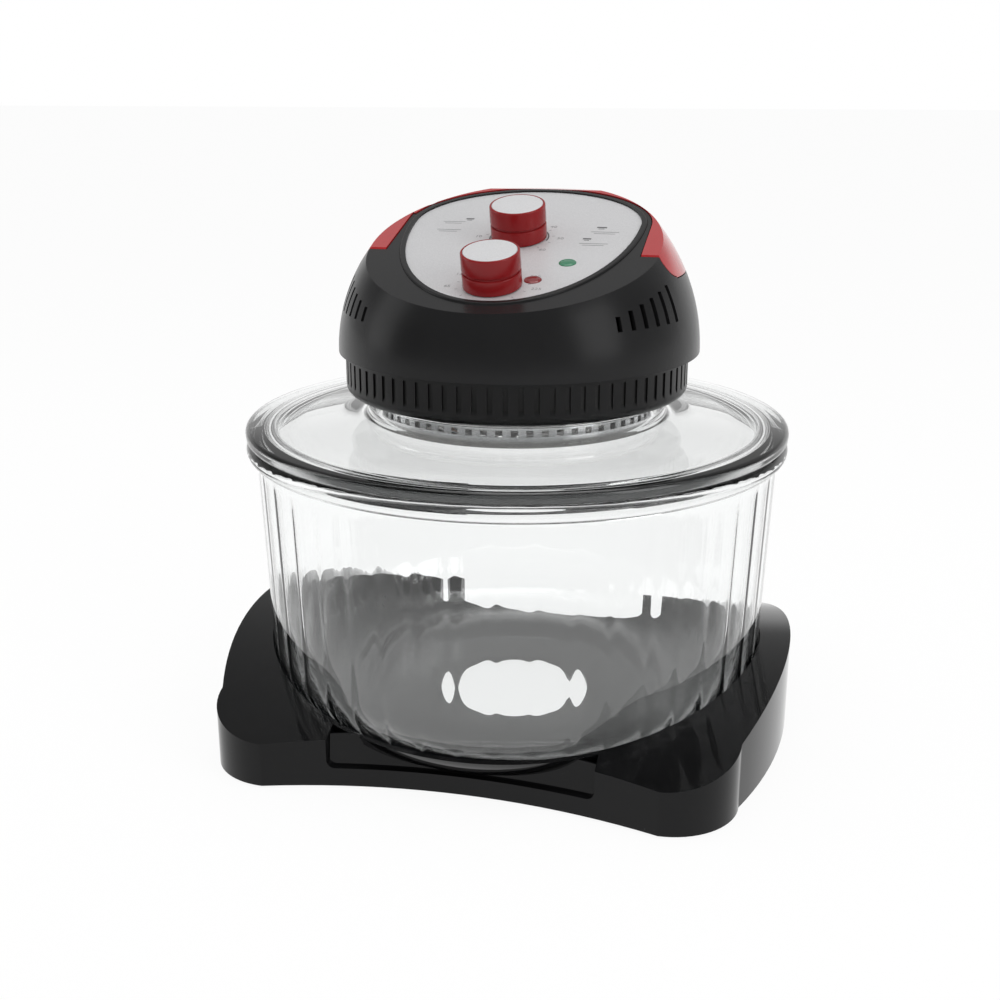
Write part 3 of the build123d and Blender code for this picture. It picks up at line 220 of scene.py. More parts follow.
def make_moulded_grain():
    """Fine texture of moulded plastic: a soft fleck, a slow sheen change and a height for bump."""
    group, start, end = effect_group(
        "moulded_grain",
        [
            ("Fleck Scale", "NodeSocketFloat", 1800.0),
            ("Sheen Scale", "NodeSocketFloat", 14.0),
            ("Roughness", "NodeSocketFloat", 0.3),
            ("Spread", "NodeSocketFloat", 0.05),
        ],
        [("Roughness", "NodeSocketFloat"), ("Fleck", "NodeSocketFloat"), ("Tone", "NodeSocketFloat")],
    )
    place = add(group, "ShaderNodeTexCoord")
    fleck = add(group, "ShaderNodeTexNoise", Detail=2.0, Roughness=0.6)
    slow = add(group, "ShaderNodeTexNoise", Detail=3.0, Roughness=0.5)
    join(group, place.outputs["Object"], fleck.inputs["Vector"])
    join(group, place.outputs["Object"], slow.inputs["Vector"])
    join(group, start.outputs["Fleck Scale"], fleck.inputs["Scale"])
    join(group, start.outputs["Sheen Scale"], slow.inputs["Scale"])
    join(group, swung_roughness(group, start, slow.outputs["Fac"]), end.inputs["Roughness"])
    join(group, fleck.outputs["Fac"], end.inputs["Fleck"])
    join(group, slow.outputs["Fac"], end.inputs["Tone"])
    return group


def make_brushed_lines():
    """Fine lines drawn along one axis, for rolled and brushed sheet."""
    group, start, end = effect_group(
        "brushed_lines",
        [
            ("Stretch", "NodeSocketVector", (6.0, 900.0, 900.0)),
            ("Roughness", "NodeSocketFloat", 0.3),
            ("Spread", "NodeSocketFloat", 0.15),
        ],
        [("Roughness", "NodeSocketFloat"), ("Lines", "NodeSocketFloat")],
    )
    place = add(group, "ShaderNodeTexCoord")
    pull = add(group, "ShaderNodeVectorMath", operation="MULTIPLY")
    join(group, place.outputs["Object"], pull.inputs[0])
    join(group, start.outputs["Stretch"], pull.inputs[1])
    lines = add(group, "ShaderNodeTexNoise", Scale=1.0, Detail=3.0, Roughness=0.65)
    join(group, pull.outputs[0], lines.inputs["Vector"])
    join(group, swung_roughness(group, start, lines.outputs["Fac"]), end.inputs["Roughness"])
    join(group, lines.outputs["Fac"], end.inputs["Lines"])
    return group


def make_settled_dust():
    """A thin pale film that gathers on faces that look up."""
    group, start, end = effect_group(
        "settled_dust",
        [("Amount", "NodeSocketFloat", 0.05), ("Scale", "NodeSocketFloat", 60.0)],
        [("Mask", "NodeSocketFloat")],
    )
    place = add(group, "ShaderNodeTexCoord")
    facing = add(group, "ShaderNodeNewGeometry")
    up = add(group, "ShaderNodeSeparateXYZ")
    join(group, facing.outputs["Normal"], up.inputs[0])
    level = run_between(group, up.outputs["Z"], 0.2, 1.0, shape="LINEAR")
    patch = add(group, "ShaderNodeTexNoise", Detail=4.0, Roughness=0.6)
    join(group, place.outputs["Object"], patch.inputs["Vector"])
    join(group, start.outputs["Scale"], patch.inputs["Scale"])
    shade = calculate(group, "MULTIPLY", level, patch.outputs["Fac"])
    thin = calculate(group, "MULTIPLY", shade, start.outputs["Amount"], clamp=True)
    join(group, thin, end.inputs["Mask"])
    return group


# Each painted shade band of the lid, a darker glass colour put where shade falls: nearest and farthest
# radius, lowest and highest level, width of its soft edge
LID_EDGE_PAINTED_SHADE = (159.5, 170.0, 181.4, 190.0, 1.5)
NECK_ROOT_PAINTED_SHADE = (86.5, 94.5, 190.5, 196.5, 2.0)

# Levels between which the guard's painted shade comes in, darker towards its lower edge
PAINTED_SHADE_TOP, PAINTED_SHADE_LOW = 195.5, 190.0

MOULDED_GRAIN = make_moulded_grain()
BRUSHED_LINES = make_brushed_lines()
SETTLED_DUST = make_settled_dust()
DUST_COLOUR = (0.45, 0.45, 0.44, 1)


def start_material(name):
    """A material with one Principled shader; returns it, its tree, its shader and its output."""
    material = bpy.data.materials.new(name)
    material.use_nodes = True
    tree = material.node_tree
    tree.nodes.clear()
    out = tree.nodes.new("ShaderNodeOutputMaterial")
    shader = tree.nodes.new("ShaderNodeBsdfPrincipled")
    join(tree, shader.outputs[0], out.inputs["Surface"])
    return material, tree, shader, out


def tone_between(tree, mask, low, high):
    """A colour that runs from low to high as the mask goes from 0.3 to 0.7."""
    ramp = tree.nodes.new("ShaderNodeValToRGB")
    ramp.color_ramp.elements[0].position = 0.3
    ramp.color_ramp.elements[0].color = (*low, 1)
    ramp.color_ramp.elements[1].position = 0.7
    ramp.color_ramp.elements[1].color = (*high, 1)
    join(tree, mask, ramp.inputs["Fac"])
    return ramp.outputs["Color"]


def bump(tree, shader, height, strength, distance):
    """Raise a shader's surface by a height mask."""
    node = add(tree, "ShaderNodeBump", Strength=strength, Distance=distance)
    join(tree, height, node.inputs["Height"])
    join(tree, node.outputs["Normal"], shader.inputs["Normal"])


# ---------------------------------------------------------------- materials
def plastic(name, low, high, roughness, spread, fleck, depth, specular, coat=0.0, dust=0.0):
    """Moulded plastic with a slight change of tone, a fine grain and a trace of dust."""
    material, tree, shader, _ = start_material(name)
    grain = place_group(tree, MOULDED_GRAIN, Fleck_Scale=fleck, Roughness=roughness, Spread=spread)
    colour = tone_between(tree, grain.outputs["Tone"], low, high)
    if dust:
        film = place_group(tree, SETTLED_DUST, Amount=dust)
        colour = mix_colours(tree, film.outputs["Mask"], colour, DUST_COLOUR)
    join(tree, colour, shader.inputs["Base Color"])
    join(tree, grain.outputs["Roughness"], shader.inputs["Roughness"])
    shader.inputs["Specular IOR Level"].default_value = specular
    shader.inputs["Coat Weight"].default_value = coat
    shader.inputs["Coat Roughness"].default_value = 0.06
    bump(tree, shader, grain.outputs["Fleck"], 0.25, depth)
    return material


def metal(name, low, high, roughness, spread, stretch, metallic=1.0):
    """Drawn or rolled metal with fine lines along one axis."""
    material, tree, shader, _ = start_material(name)
    lines = place_group(tree, BRUSHED_LINES, Stretch=stretch, Roughness=roughness, Spread=spread)
    colour = tone_between(tree, lines.outputs["Lines"], low, high)
    join(tree, colour, shader.inputs["Base Color"])
    join(tree, lines.outputs["Roughness"], shader.inputs["Roughness"])
    shader.inputs["Metallic"].default_value = metallic
    bump(tree, shader, lines.outputs["Lines"], 0.12, 0.00004)
    return material


def within(tree, value, low, high, soft):
    """1 where a length lies between two bounds, fading over a soft width."""
    rising = run_between(tree, value, (low - soft) * MM, low * MM)
    falling = run_between(tree, value, (high + soft) * MM, high * MM)
    return calculate(tree, "MULTIPLY", rising, falling)


def tint_with_painted_shade(tree, tint, bands):
    """Glass colour with painted shade: darker rings where a thick edge is seen face on from outside."""
    parts = object_parts(tree)
    flat = add(tree, "ShaderNodeCombineXYZ")
    join(tree, parts["X"], flat.inputs["X"])
    join(tree, parts["Y"], flat.inputs["Y"])
    radius = add(tree, "ShaderNodeVectorMath", operation="LENGTH")
    join(tree, flat.outputs[0], radius.inputs[0])
    side = add(tree, "ShaderNodeNewGeometry")
    outside = calculate(tree, "SUBTRACT", 1.0, side.outputs["Backfacing"])
    grazing = add(tree, "ShaderNodeLayerWeight", Blend=0.5)
    facing = run_between(tree, grazing.outputs["Facing"], 0.78, 0.3)
    turned = calculate(tree, "MULTIPLY", outside, facing)
    colour = (*tint, 1)
    # Painted shade: each band's mask darkens the glass colour towards its shade colour.
    for (near, far, low, high, soft), shade in bands:
        ring = within(tree, radius.outputs["Value"], near, far, soft)
        level = within(tree, parts["Z"], low, high, soft)
        mask = calculate(tree, "MULTIPLY", ring, level)
        colour = mix_colours(tree, calculate(tree, "MULTIPLY", mask, turned), colour, (*shade, 1))
    return colour


def bowl_glass(name, tint, bands=()):
    """Clear pressed glass that lets the lamps through; bands are painted shade, dark rings at its thick
    edges.
    """
    material, tree, shader, out = start_material(name)
    shader.inputs["Base Color"].default_value = (*tint, 1)
    shader.inputs["Roughness"].default_value = 0.0
    shader.inputs["IOR"].default_value = 1.47
    shader.inputs["Transmission Weight"].default_value = 1.0
    place = add(tree, "ShaderNodeTexCoord")
    waves = add(tree, "ShaderNodeTexNoise", Scale=9.0, Detail=1.0, Roughness=0.4)
    join(tree, place.outputs["Object"], waves.inputs["Vector"])
    bump(tree, shader, waves.outputs["Fac"], 0.02, 0.0004)
    if bands:
        join(tree, tint_with_painted_shade(tree, tint, bands), shader.inputs["Base Color"])
    path = add(tree, "ShaderNodeLightPath")
    through = add(tree, "ShaderNodeBsdfTransparent")
    through.inputs["Color"].default_value = (0.9, 0.92, 0.92, 1)
    mix = add(tree, "ShaderNodeMixShader")
    join(tree, path.outputs["Is Shadow Ray"], mix.inputs["Fac"])
    join(tree, shader.outputs[0], mix.inputs[1])
    join(tree, through.outputs[0], mix.inputs[2])
    join(tree, mix.outputs[0], out.inputs["Surface"])
    return material


def lens_plastic(name, low, high, glow):
    """Coloured clear plastic with fine rings, slightly brighter inside from a faint painted glow."""
    material, tree, shader, _ = start_material(name)
    grain = place_group(tree, MOULDED_GRAIN, Fleck_Scale=900.0, Roughness=0.12, Spread=0.06)
    colour = tone_between(tree, grain.outputs["Tone"], low, high)
    join(tree, colour, shader.inputs["Base Color"])
    join(tree, grain.outputs["Roughness"], shader.inputs["Roughness"])
    shader.inputs["Transmission Weight"].default_value = 0.35
    # Painted glow: a faint emission makes the lens look lit from within.
    shader.inputs["Emission Color"].default_value = (*glow, 1)
    shader.inputs["Emission Strength"].default_value = 0.08
    shader.inputs["Coat Weight"].default_value = 0.4
    bump(tree, shader, grain.outputs["Fleck"], 0.2, 0.00008)
    return material


def chrome_with_painted_shade():
    """Bright chrome of the fan guard, with painted shade that darkens it towards its lower edge."""
    material, tree, shader, _ = start_material("chrome_with_painted_shade")
    lines = place_group(tree, BRUSHED_LINES, Stretch=(300.0, 300.0, 30.0), Roughness=0.24, Spread=0.1)
    bright = tone_between(tree, lines.outputs["Lines"], (0.80, 0.80, 0.81), (0.92, 0.92, 0.93))
    # Painted shade: the chrome's colour is darkened to grey towards the guard's lower edge.
    lower_shade = run_between(tree, object_parts(tree)["Z"], PAINTED_SHADE_TOP * MM, PAINTED_SHADE_LOW * MM)
    colour = mix_colours(tree, lower_shade, bright, (0.24, 0.235, 0.23, 1))
    join(tree, colour, shader.inputs["Base Color"])
    join(tree, lines.outputs["Roughness"], shader.inputs["Roughness"])
    shader.inputs["Metallic"].default_value = 0.9
    bump(tree, shader, lines.outputs["Lines"], 0.12, 0.00004)
    return material


def wound_wire():
    """Enamelled copper wire in close turns."""
    material, tree, shader, _ = start_material("coil_wire")
    place = add(tree, "ShaderNodeTexCoord")
    turns = add(tree, "ShaderNodeTexWave", wave_type="BANDS", bands_direction="Y",
                Scale=620.0, Distortion=0.6, Detail=1.0)
    join(tree, place.outputs["Object"], turns.inputs["Vector"])
    colour = tone_between(tree, turns.outputs["Fac"], (0.14, 0.035, 0.012), (0.55, 0.19, 0.06))
    join(tree, colour, shader.inputs["Base Color"])
    shader.inputs["Metallic"].default_value = 0.7
    shader.inputs["Roughness"].default_value = 0.32
    bump(tree, shader, turns.outputs["Fac"], 0.6, 0.0004)
    return material


def stacked_sheet():
    """Thin steel sheets stacked along the shaft."""
    material, tree, shader, _ = start_material("core_sheets")
    place = add(tree, "ShaderNodeTexCoord")
    sheets = add(tree, "ShaderNodeTexWave", wave_type="BANDS", bands_direction="Z",
                 Scale=640.0, Distortion=0.2)
    join(tree, place.outputs["Object"], sheets.inputs["Vector"])
    colour = tone_between(tree, sheets.outputs["Fac"], (0.09, 0.09, 0.1), (0.33, 0.33, 0.34))
    join(tree, colour, shader.inputs["Base Color"])
    shader.inputs["Metallic"].default_value = 0.85
    shader.inputs["Roughness"].default_value = 0.42
    bump(tree, shader, sheets.outputs["Fac"], 0.4, 0.0002)
    return material


def silver_paint(name, low, high, fleck):
    """Pale silver paint: a fine metal fleck under a smooth surface."""
    material, tree, shader, _ = start_material(name)
    place = add(tree, "ShaderNodeTexCoord")
    flakes = add(tree, "ShaderNodeTexVoronoi", Scale=fleck, Randomness=1.0)
    join(tree, place.outputs["Object"], flakes.inputs["Vector"])
    grey = add(tree, "ShaderNodeRGBToBW")
    join(tree, flakes.outputs["Color"], grey.inputs[0])
    join(tree, tone_between(tree, grey.outputs[0], low, high), shader.inputs["Base Color"])
    grain = place_group(tree, MOULDED_GRAIN, Fleck_Scale=2400.0, Roughness=0.38, Spread=0.08)
    join(tree, grain.outputs["Roughness"], shader.inputs["Roughness"])
    shader.inputs["Metallic"].default_value = 0.15
    shader.inputs["Specular IOR Level"].default_value = 0.4
    bump(tree, shader, grain.outputs["Fleck"], 0.15, 0.00003)
    return material


SATIN_BLACK = plastic(
    "satin_black_plastic", (0.014, 0.014, 0.0145), (0.018, 0.018, 0.0187),
    roughness=0.26, spread=0.06, fleck=1700.0, depth=0.00005, specular=0.18, dust=0.008)
SKIRT_BLACK = plastic(
    "skirt_black_plastic", (0.0045, 0.0045, 0.0048), (0.007, 0.007, 0.0074),
    roughness=0.34, spread=0.06, fleck=1700.0, depth=0.00005, specular=0.22, dust=0.01)
VENT_SHADE = plastic(
    "vent_black_plastic", (0.007, 0.007, 0.007), (0.01, 0.01, 0.01),
    roughness=0.5, spread=0.06, fleck=1700.0, depth=0.00005, specular=0.3)
GLOSS_BLACK = plastic(
    "gloss_black_plastic", (0.004, 0.004, 0.0044), (0.006, 0.006, 0.0064),
    roughness=0.045, spread=0.02, fleck=1200.0, depth=0.000004, specular=0.22, dust=0.008)
GLOSS_RED = plastic(
    "gloss_red_plastic", (0.42, 0.016, 0.019), (0.48, 0.023, 0.026),
    roughness=0.14, spread=0.04, fleck=1400.0, depth=0.00002, specular=0.5, coat=0.3)
KNOB_RED = plastic(
    "knob_red_plastic", (0.25, 0.009, 0.011), (0.3, 0.012, 0.014),
    roughness=0.24, spread=0.05, fleck=1400.0, depth=0.00002, specular=0.3)
SHADE_BLACK = plastic(
    "inner_black_plastic", (0.012, 0.012, 0.012), (0.02, 0.02, 0.02),
    roughness=0.5, spread=0.1, fleck=900.0, depth=0.0001, specular=0.4)
FOOT_RUBBER = plastic(
    "foot_rubber", (0.016, 0.016, 0.016), (0.03, 0.03, 0.03),
    roughness=0.75, spread=0.12, fleck=1500.0, depth=0.00015, specular=0.3)
SILICONE = plastic(
    "gasket_silicone", (0.42, 0.42, 0.41), (0.52, 0.52, 0.5),
    roughness=0.45, spread=0.1, fleck=900.0, depth=0.00006, specular=0.4)
CERAMIC = plastic(
    "white_ceramic", (0.62, 0.6, 0.56), (0.74, 0.72, 0.68),
    roughness=0.5, spread=0.12, fleck=1300.0, depth=0.00012, specular=0.4)
SILVER_PANEL = silver_paint("silver_panel_paint", (0.61, 0.61, 0.62), (0.68, 0.68, 0.69), 2600.0)
SILVER_CAP = silver_paint("silver_cap_paint", (0.68, 0.68, 0.69), (0.75, 0.75, 0.76), 2600.0)
CHROME = metal(
    "bright_chrome", (0.72, 0.72, 0.73), (0.84, 0.84, 0.85),
    roughness=0.1, spread=0.08, stretch=(300.0, 300.0, 30.0))
ALUMINIUM = metal(
    "rolled_aluminium", (0.62, 0.62, 0.63), (0.78, 0.78, 0.79),
    roughness=0.28, spread=0.18, stretch=(8.0, 700.0, 700.0))
BRUSHED_STEEL = metal(
    "brushed_steel", (0.4, 0.4, 0.41), (0.56, 0.56, 0.57),
    roughness=0.32, spread=0.2, stretch=(900.0, 8.0, 900.0))
TURNED_STEEL = metal(
    "turned_steel", (0.42, 0.42, 0.43), (0.6, 0.6, 0.61),
    roughness=0.22, spread=0.12, stretch=(60.0, 60.0, 1600.0))
BRASS = metal(
    "turned_brass", (0.52, 0.36, 0.13), (0.7, 0.5, 0.2),
    roughness=0.26, spread=0.15, stretch=(60.0, 60.0, 1500.0))
COPPER = metal(
    "drawn_copper", (0.5, 0.2, 0.1), (0.72, 0.34, 0.2),
    roughness=0.28, spread=0.15, stretch=(700.0, 700.0, 30.0))
CLEAR_GLASS = bowl_glass("clear_glass", (0.985, 0.992, 0.99))
# The lid's bands are painted shade: a near-black ring at the outer edge and a grey ring at the neck's root.
LID_GLASS = bowl_glass("lid_clear_glass", (0.985, 0.992, 0.99), [
    (LID_EDGE_PAINTED_SHADE, (0.006, 0.0064, 0.0064)),
    (NECK_ROOT_PAINTED_SHADE, (0.56, 0.58, 0.58)),
])
QUARTZ = bowl_glass("quartz_tube", (0.96, 0.95, 0.93))
NEON = bowl_glass("lamp_glass", (0.95, 0.75, 0.6))
GREEN_LENS = lens_plastic("green_lens_plastic", (0.02, 0.16, 0.08), (0.05, 0.30, 0.16), (0.1, 0.6, 0.3))
RED_LENS = lens_plastic("red_lens_plastic", (0.16, 0.01, 0.012), (0.32, 0.03, 0.035), (0.6, 0.08, 0.08))
CHROME_WITH_PAINTED_SHADE = chrome_with_painted_shade()
COIL_WIRE = wound_wire()
CORE_SHEETS = stacked_sheet()
PRINT_GREY = plastic(
    "panel_print_grey", (0.1, 0.1, 0.105), (0.15, 0.15, 0.155),
    roughness=0.5, spread=0.05, fleck=2000.0, depth=0.00001, specular=0.3)
PRINT_PALE = plastic(
    "panel_print_pale", (0.27, 0.27, 0.28), (0.33, 0.33, 0.34),
    roughness=0.5, spread=0.05, fleck=2000.0, depth=0.00001, specular=0.3)

FRAME_FINISHES = {
    GLOSS_BLACK: ["stand_shell"],
    FOOT_RUBBER: ["stand_feet", "cord_gland"],
    SILICONE: ["neck_gasket"],
    SATIN_BLACK: ["dome_housing", "panel_surround"],
    SHADE_BLACK: ["timer_unit", "left_safety_switch", "right_safety_switch",
                  "left_switch_plunger", "right_switch_plunger"],
    GLOSS_RED: ["carry_handle"],
    SILVER_PANEL: ["control_panel"],
    TURNED_STEEL: ["housing_screws", "pivot_pins", "timer_shaft", "thermostat_shaft",
                   "rotor_shaft", "guard_screws", "guard_spacers"],
    NEON: ["indicator_lamps"],
    BRUSHED_STEEL: ["thermostat_unit", "motor_bracket", "motor_end_plates", "heat_shield", "heater_clips"],
    COPPER: ["thermostat_bulb"],
    CERAMIC: ["terminal_block", "heater_end_caps"],
    BRASS: ["motor_bearings", "fan_nut"],
    CORE_SHEETS: ["motor_stator", "motor_rotor"],
    COIL_WIRE: ["motor_coil"],
    CHROME_WITH_PAINTED_SHADE: ["fan_guard"],
    CHROME: ["reflector_plate"],
    ALUMINIUM: ["cooling_fan", "circulation_fan"],
    QUARTZ: ["halogen_ring"],
}


def finish_frame_nodes():
    """Give every CAD node that stays in view its finish."""
    for material, names in FRAME_FINISHES.items():
        for name in names:
            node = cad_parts[name]
            for slot in node.material_slots:
                slot.material = material


# ---------------------------------------------------------------- mesh helpers
def as_piece(name, bm, material, body, smooth_angle=35.0):
    """Turn a bmesh into a piece that rides on a body; sharp edges stay sharp."""
    mesh = bpy.data.meshes.new(name)
    bm.to_mesh(mesh)
    bm.free()
    mesh.materials.append(material)
    piece = bpy.data.objects.new(name, mesh)
    bpy.context.scene.collection.objects.link(piece)
    mesh.shade_smooth()
    mesh.set_sharp_from_angle(angle=math.radians(smooth_angle))
    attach(piece, body)
    return piece


def turn_about_axis(bm, steps):
    """Spin a section once round the Z axis and close it."""
    bmesh.ops.spin(bm, geom=bm.verts[:] + bm.edges[:], cent=(0, 0, 0), axis=(0, 0, 1),
                   dvec=(0, 0, 0), angle=2 * math.pi, steps=steps, use_merge=True, use_duplicate=False)
    bmesh.ops.remove_doubles(bm, verts=bm.verts, dist=1e-6)
    bmesh.ops.recalc_face_normals(bm, faces=bm.faces)


def spun(profile, steps, place=None):
    """A closed solid of revolution from (radius, height) points in millimetres."""
    bm = bmesh.new()
    corners = [bm.verts.new((r * MM, 0.0, z * MM)) for r, z in profile]
    for first, second in zip(corners, corners[1:]):
        bm.edges.new((first, second))
    if profile[0][0] > 0.0:
        bm.edges.new((corners[-1], corners[0]))
    turn_about_axis(bm, steps)
    if place is not None:
        bmesh.ops.transform(bm, matrix=place, verts=bm.verts)
    return bm


def arc(centre, radius, start, end, count):
    """Points of an arc in a profile, angles in degrees."""
    turn = [math.radians(start + (end - start) * i / count) for i in range(count + 1)]
    return [(centre[0] + radius * math.cos(a), centre[1] + radius * math.sin(a)) for a in turn]


def on_panel(u, v, height=0.0):
    """Place on the tilted panel, for pieces made about their own origin."""
    return PANEL_FRAME @ Matrix.Translation((u * MM, v * MM, height * MM))


# ---------------------------------------------------------------- stand
def stand_deck(x, y):
    """Height of the stand's deck at a place, in millimetres."""
    edge = DECK_EDGE + DECK_RISE * (abs(x) / BOWL_RADIUS) ** DECK_POWER
    edge -= DECK_BACK_FALL * max(0.0, y) ** 2 / BOWL_RADIUS
    return edge - DECK_FALL * (x * x + y * y - BOWL_RADIUS ** 2) / (2 * BOWL_RADIUS)


def under_well(x, y):
    """Height of the underside of the stand's round well at a place, in millimetres."""
    across = min(WELL_RADIUS, math.hypot(x, y) - WELL_CENTRE[0])
    return WELL_CENTRE[1] - math.sqrt(max(0.0, WELL_RADIUS ** 2 - across ** 2))


def make_notch_web():
    """Upright web at the back of the stand's front notch, from the strip up to the well."""
    bm = bmesh.new()
    low_row, high_row = [], []
    for i in range(WEB_STEPS + 1):
        x = WEB_HALF_WIDTH * (2.0 * i / WEB_STEPS - 1.0)
        y = WEB_CENTRE + math.sqrt(WEB_RADIUS ** 2 - x * x)
        top = min(stand_deck(x, y) - WEB_BELOW_DECK, max(WEB_LEAST_TOP, under_well(x, y)))
        back = y + WEB_LEAN * (top - WEB_LEANS_FROM)
        low_row.append(bm.verts.new((x * MM, y * MM, WEB_LOW * MM)))
        high_row.append(bm.verts.new((x * MM, back * MM, top * MM)))
    for row in (low_row, high_row):
        for first, second in zip(row, row[1:]):
            bm.edges.new((first, second))
    bmesh.ops.bridge_loops(bm, edges=bm.edges[:])
    bmesh.ops.recalc_face_normals(bm, faces=bm.faces)
    bmesh.ops.solidify(bm, geom=bm.faces[:], thickness=WEB_THICKNESS * MM)
    bmesh.ops.recalc_face_normals(bm, faces=bm.faces)
    web = as_piece("stand_notch_web", bm, GLOSS_BLACK, "stand", 40.0)


# ---------------------------------------------------------------- glass bowl and lid
def wall_radius(start, height):
    """Radius of the bowl's opening wall, from its radius at the top of the heel."""
    return start + WALL_SPREAD * (height - HEEL_CENTRE[1]) / WALL_RISE


def bowl_outline():
    """The bowl's section without its flutes, from the axis out, up and back down inside."""
    outer = [(radius, BASE_LOW) for radius in (0.0, 40.0, 80.0, 106.0)]
    outer += arc(HEEL_CENTRE, HEEL_OUTSIDE, -90.0, 0.0, 16)
    outer += [(wall_radius(WALL_OUTSIDE, z), z) for z in (70.0, 90.0, 110.0, 130.0, 150.0, 162.0, 169.6)]
    outer += [(159.3, 170.8)] + arc(BEAD_CENTRE, BEAD_RADIUS, -78.0, 90.0, 20)
    inner = [(157.2, 180.5), (155.6, 180.1), (154.8, 179.0), (154.5, 177.0)]
    levels = (171.0, 164.0, 157.0, 148.0, 134.0, 118.0, 102.0, 86.0, 72.0, 62.0)
    inner += [(wall_radius(WALL_INSIDE, z), z) for z in levels]
    inner += arc(HEEL_CENTRE, HEEL_INSIDE, 0.0, -90.0, 16)
    inner += [(radius, BASE_HIGH) for radius in (80.0, 40.0, 0.0)]
    return outer + inner


def crowd_to_flutes(bm):
    """Slide the mesh's columns round the axis, so more of them lie on each flute's crest."""
    for corner in bm.verts:
        turn = math.atan2(corner.co.y, corner.co.x)
        shift = -FLUTE_CROWDING * math.sin(FLUTES * turn) / FLUTES
        corner.co.xy = Matrix.Rotation(shift, 2) @ corner.co.xy


def smooth_step(share):
    """0 to 1 with level ends."""
    share = min(1.0, max(0.0, share))
    return share * share * (3 - 2 * share)


def raise_flutes(bm):
    """Flutes on the inner wall; they fade out in the heel and below the rim."""
    for corner in bm.verts:
        radius = corner.co.xy.length / MM
        height = corner.co.z / MM
        inner_face = wall_radius(WALL_INSIDE + FLUTE_SLACK, max(HEEL_CENTRE[1], height))
        if radius >= inner_face or height <= FLUTE_LOWEST or radius < FLUTE_NEAREST:
            continue
        rise = 1.0
        if height < FLUTE_FULL:
            rise = smooth_step((radius - FLUTE_INNER) / FLUTE_FADE_IN)
        strength = FLUTE_HEIGHT * rise * smooth_step((FLUTE_TOP - height) / FLUTE_FADE_OUT)
        turn = math.atan2(corner.co.y, corner.co.x)
        rib = (0.5 + 0.5 * math.cos(FLUTES * turn)) ** FLUTE_SHARPNESS
        corner.co.xy *= 1.0 - strength * rib / radius


def make_glass_bowl():
    """Pressed bowl: smooth outside, soft flutes inside between the heel and the rim."""
    bm = spun(bowl_outline(), FLUTES * FLUTE_STEPS)
    crowd_to_flutes(bm)
    raise_flutes(bm)
    bowl = as_piece("bowl_fluted_glass", bm, CLEAR_GLASS, "bowl", 40.0)
    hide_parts("glass_bowl")


def lid_outline():
    """The lid's section, from its outer edge over the neck and back along the underside."""
    edge = arc((163.0, 183.8), 2.0, -90.0, 0.0, 5) + arc((161.8, 185.6), 3.2, 0.0, 82.0, 7)
    top = [(150.0, 189.5), (130.0, 191.0), (110.0, 192.3), (98.0, 193.1)]
    neck = [(95.0, 193.5), (92.6, 194.3), (91.0, 195.6), (90.1, 197.4), (90.0, 199.0), (90.0, 203.6)]
    mouth = arc((88.8, 204.1), 1.2, 0.0, 90.0, 4) + [(83.0, 205.3), (82.3, 205.0), (82.0, 204.3)]
    mouth += [(82.1, 203.0), (82.6, 202.4), (86.0, 202.3)]
    underside = [(86.0, 192.0), (86.8, 190.0), (89.0, 188.8), (110.0, 187.1), (130.0, 185.4)]
    underside += [(145.0, 184.0), (147.0, 183.4)]
    spigot = [(147.5, 182.0), (147.5, 177.2)] + arc((150.0, 178.3), 2.5, 180.0, 360.0, 10)
    spigot += [(152.5, 180.4), (153.1, 181.4), (154.2, 181.8)]
    return edge + top + neck + mouth + underside + spigot


def make_lid_glass():
    """Lid plate, raised neck and the ring that drops into the bowl, with fire-polished edges."""
    lid = as_piece("lid_spun_glass", spun(lid_outline(), LID_STEPS), LID_GLASS, "lid", 50.0)
    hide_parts("lid_glass")


def skirt_outline():
    """The skirt's section: a thin wall with a round lower edge that turns in under the head."""
    wall, low, high = SKIRT_WIDE, SKIRT_LOW, SKIRT_TOP
    outline = [(SKIRT_OPENING, low), (wall - SKIRT_ROUND, low)]
    outline += arc((wall - SKIRT_ROUND, low + SKIRT_ROUND), SKIRT_ROUND, -75.0, 0.0, 6)
    outline += [(wall, VENT_LOW), (wall, VENT_HIGH)]
    outline += [(wall, high - SKIRT_CHAMFER), (wall - SKIRT_CHAMFER, high)]
    outline += [(wall - SKIRT_THICK, high), (wall - SKIRT_THICK, low + SKIRT_THICK)]
    return outline + [(SKIRT_OPENING, low + SKIRT_THICK)]


def line_up_vents(bm):
    """Slide the skirt's columns so every fourth pair bounds a vent of the right width."""
    pitch = 2 * math.pi / VENTS
    half = 0.5 * VENT_WIDTH / SKIRT_WIDE
    quarter = 0.25 * (0.5 * pitch - half)
    stops = (-half, half, 0.5 * pitch - quarter, 0.5 * pitch + quarter)
    for corner in bm.verts:
        turn = math.atan2(corner.co.y, corner.co.x)
        column = round(turn / pitch * 4)
        wanted = (column // 4) * pitch + stops[column % 4]
        corner.co.xy = Matrix.Rotation(wanted - turn, 2) @ corner.co.xy


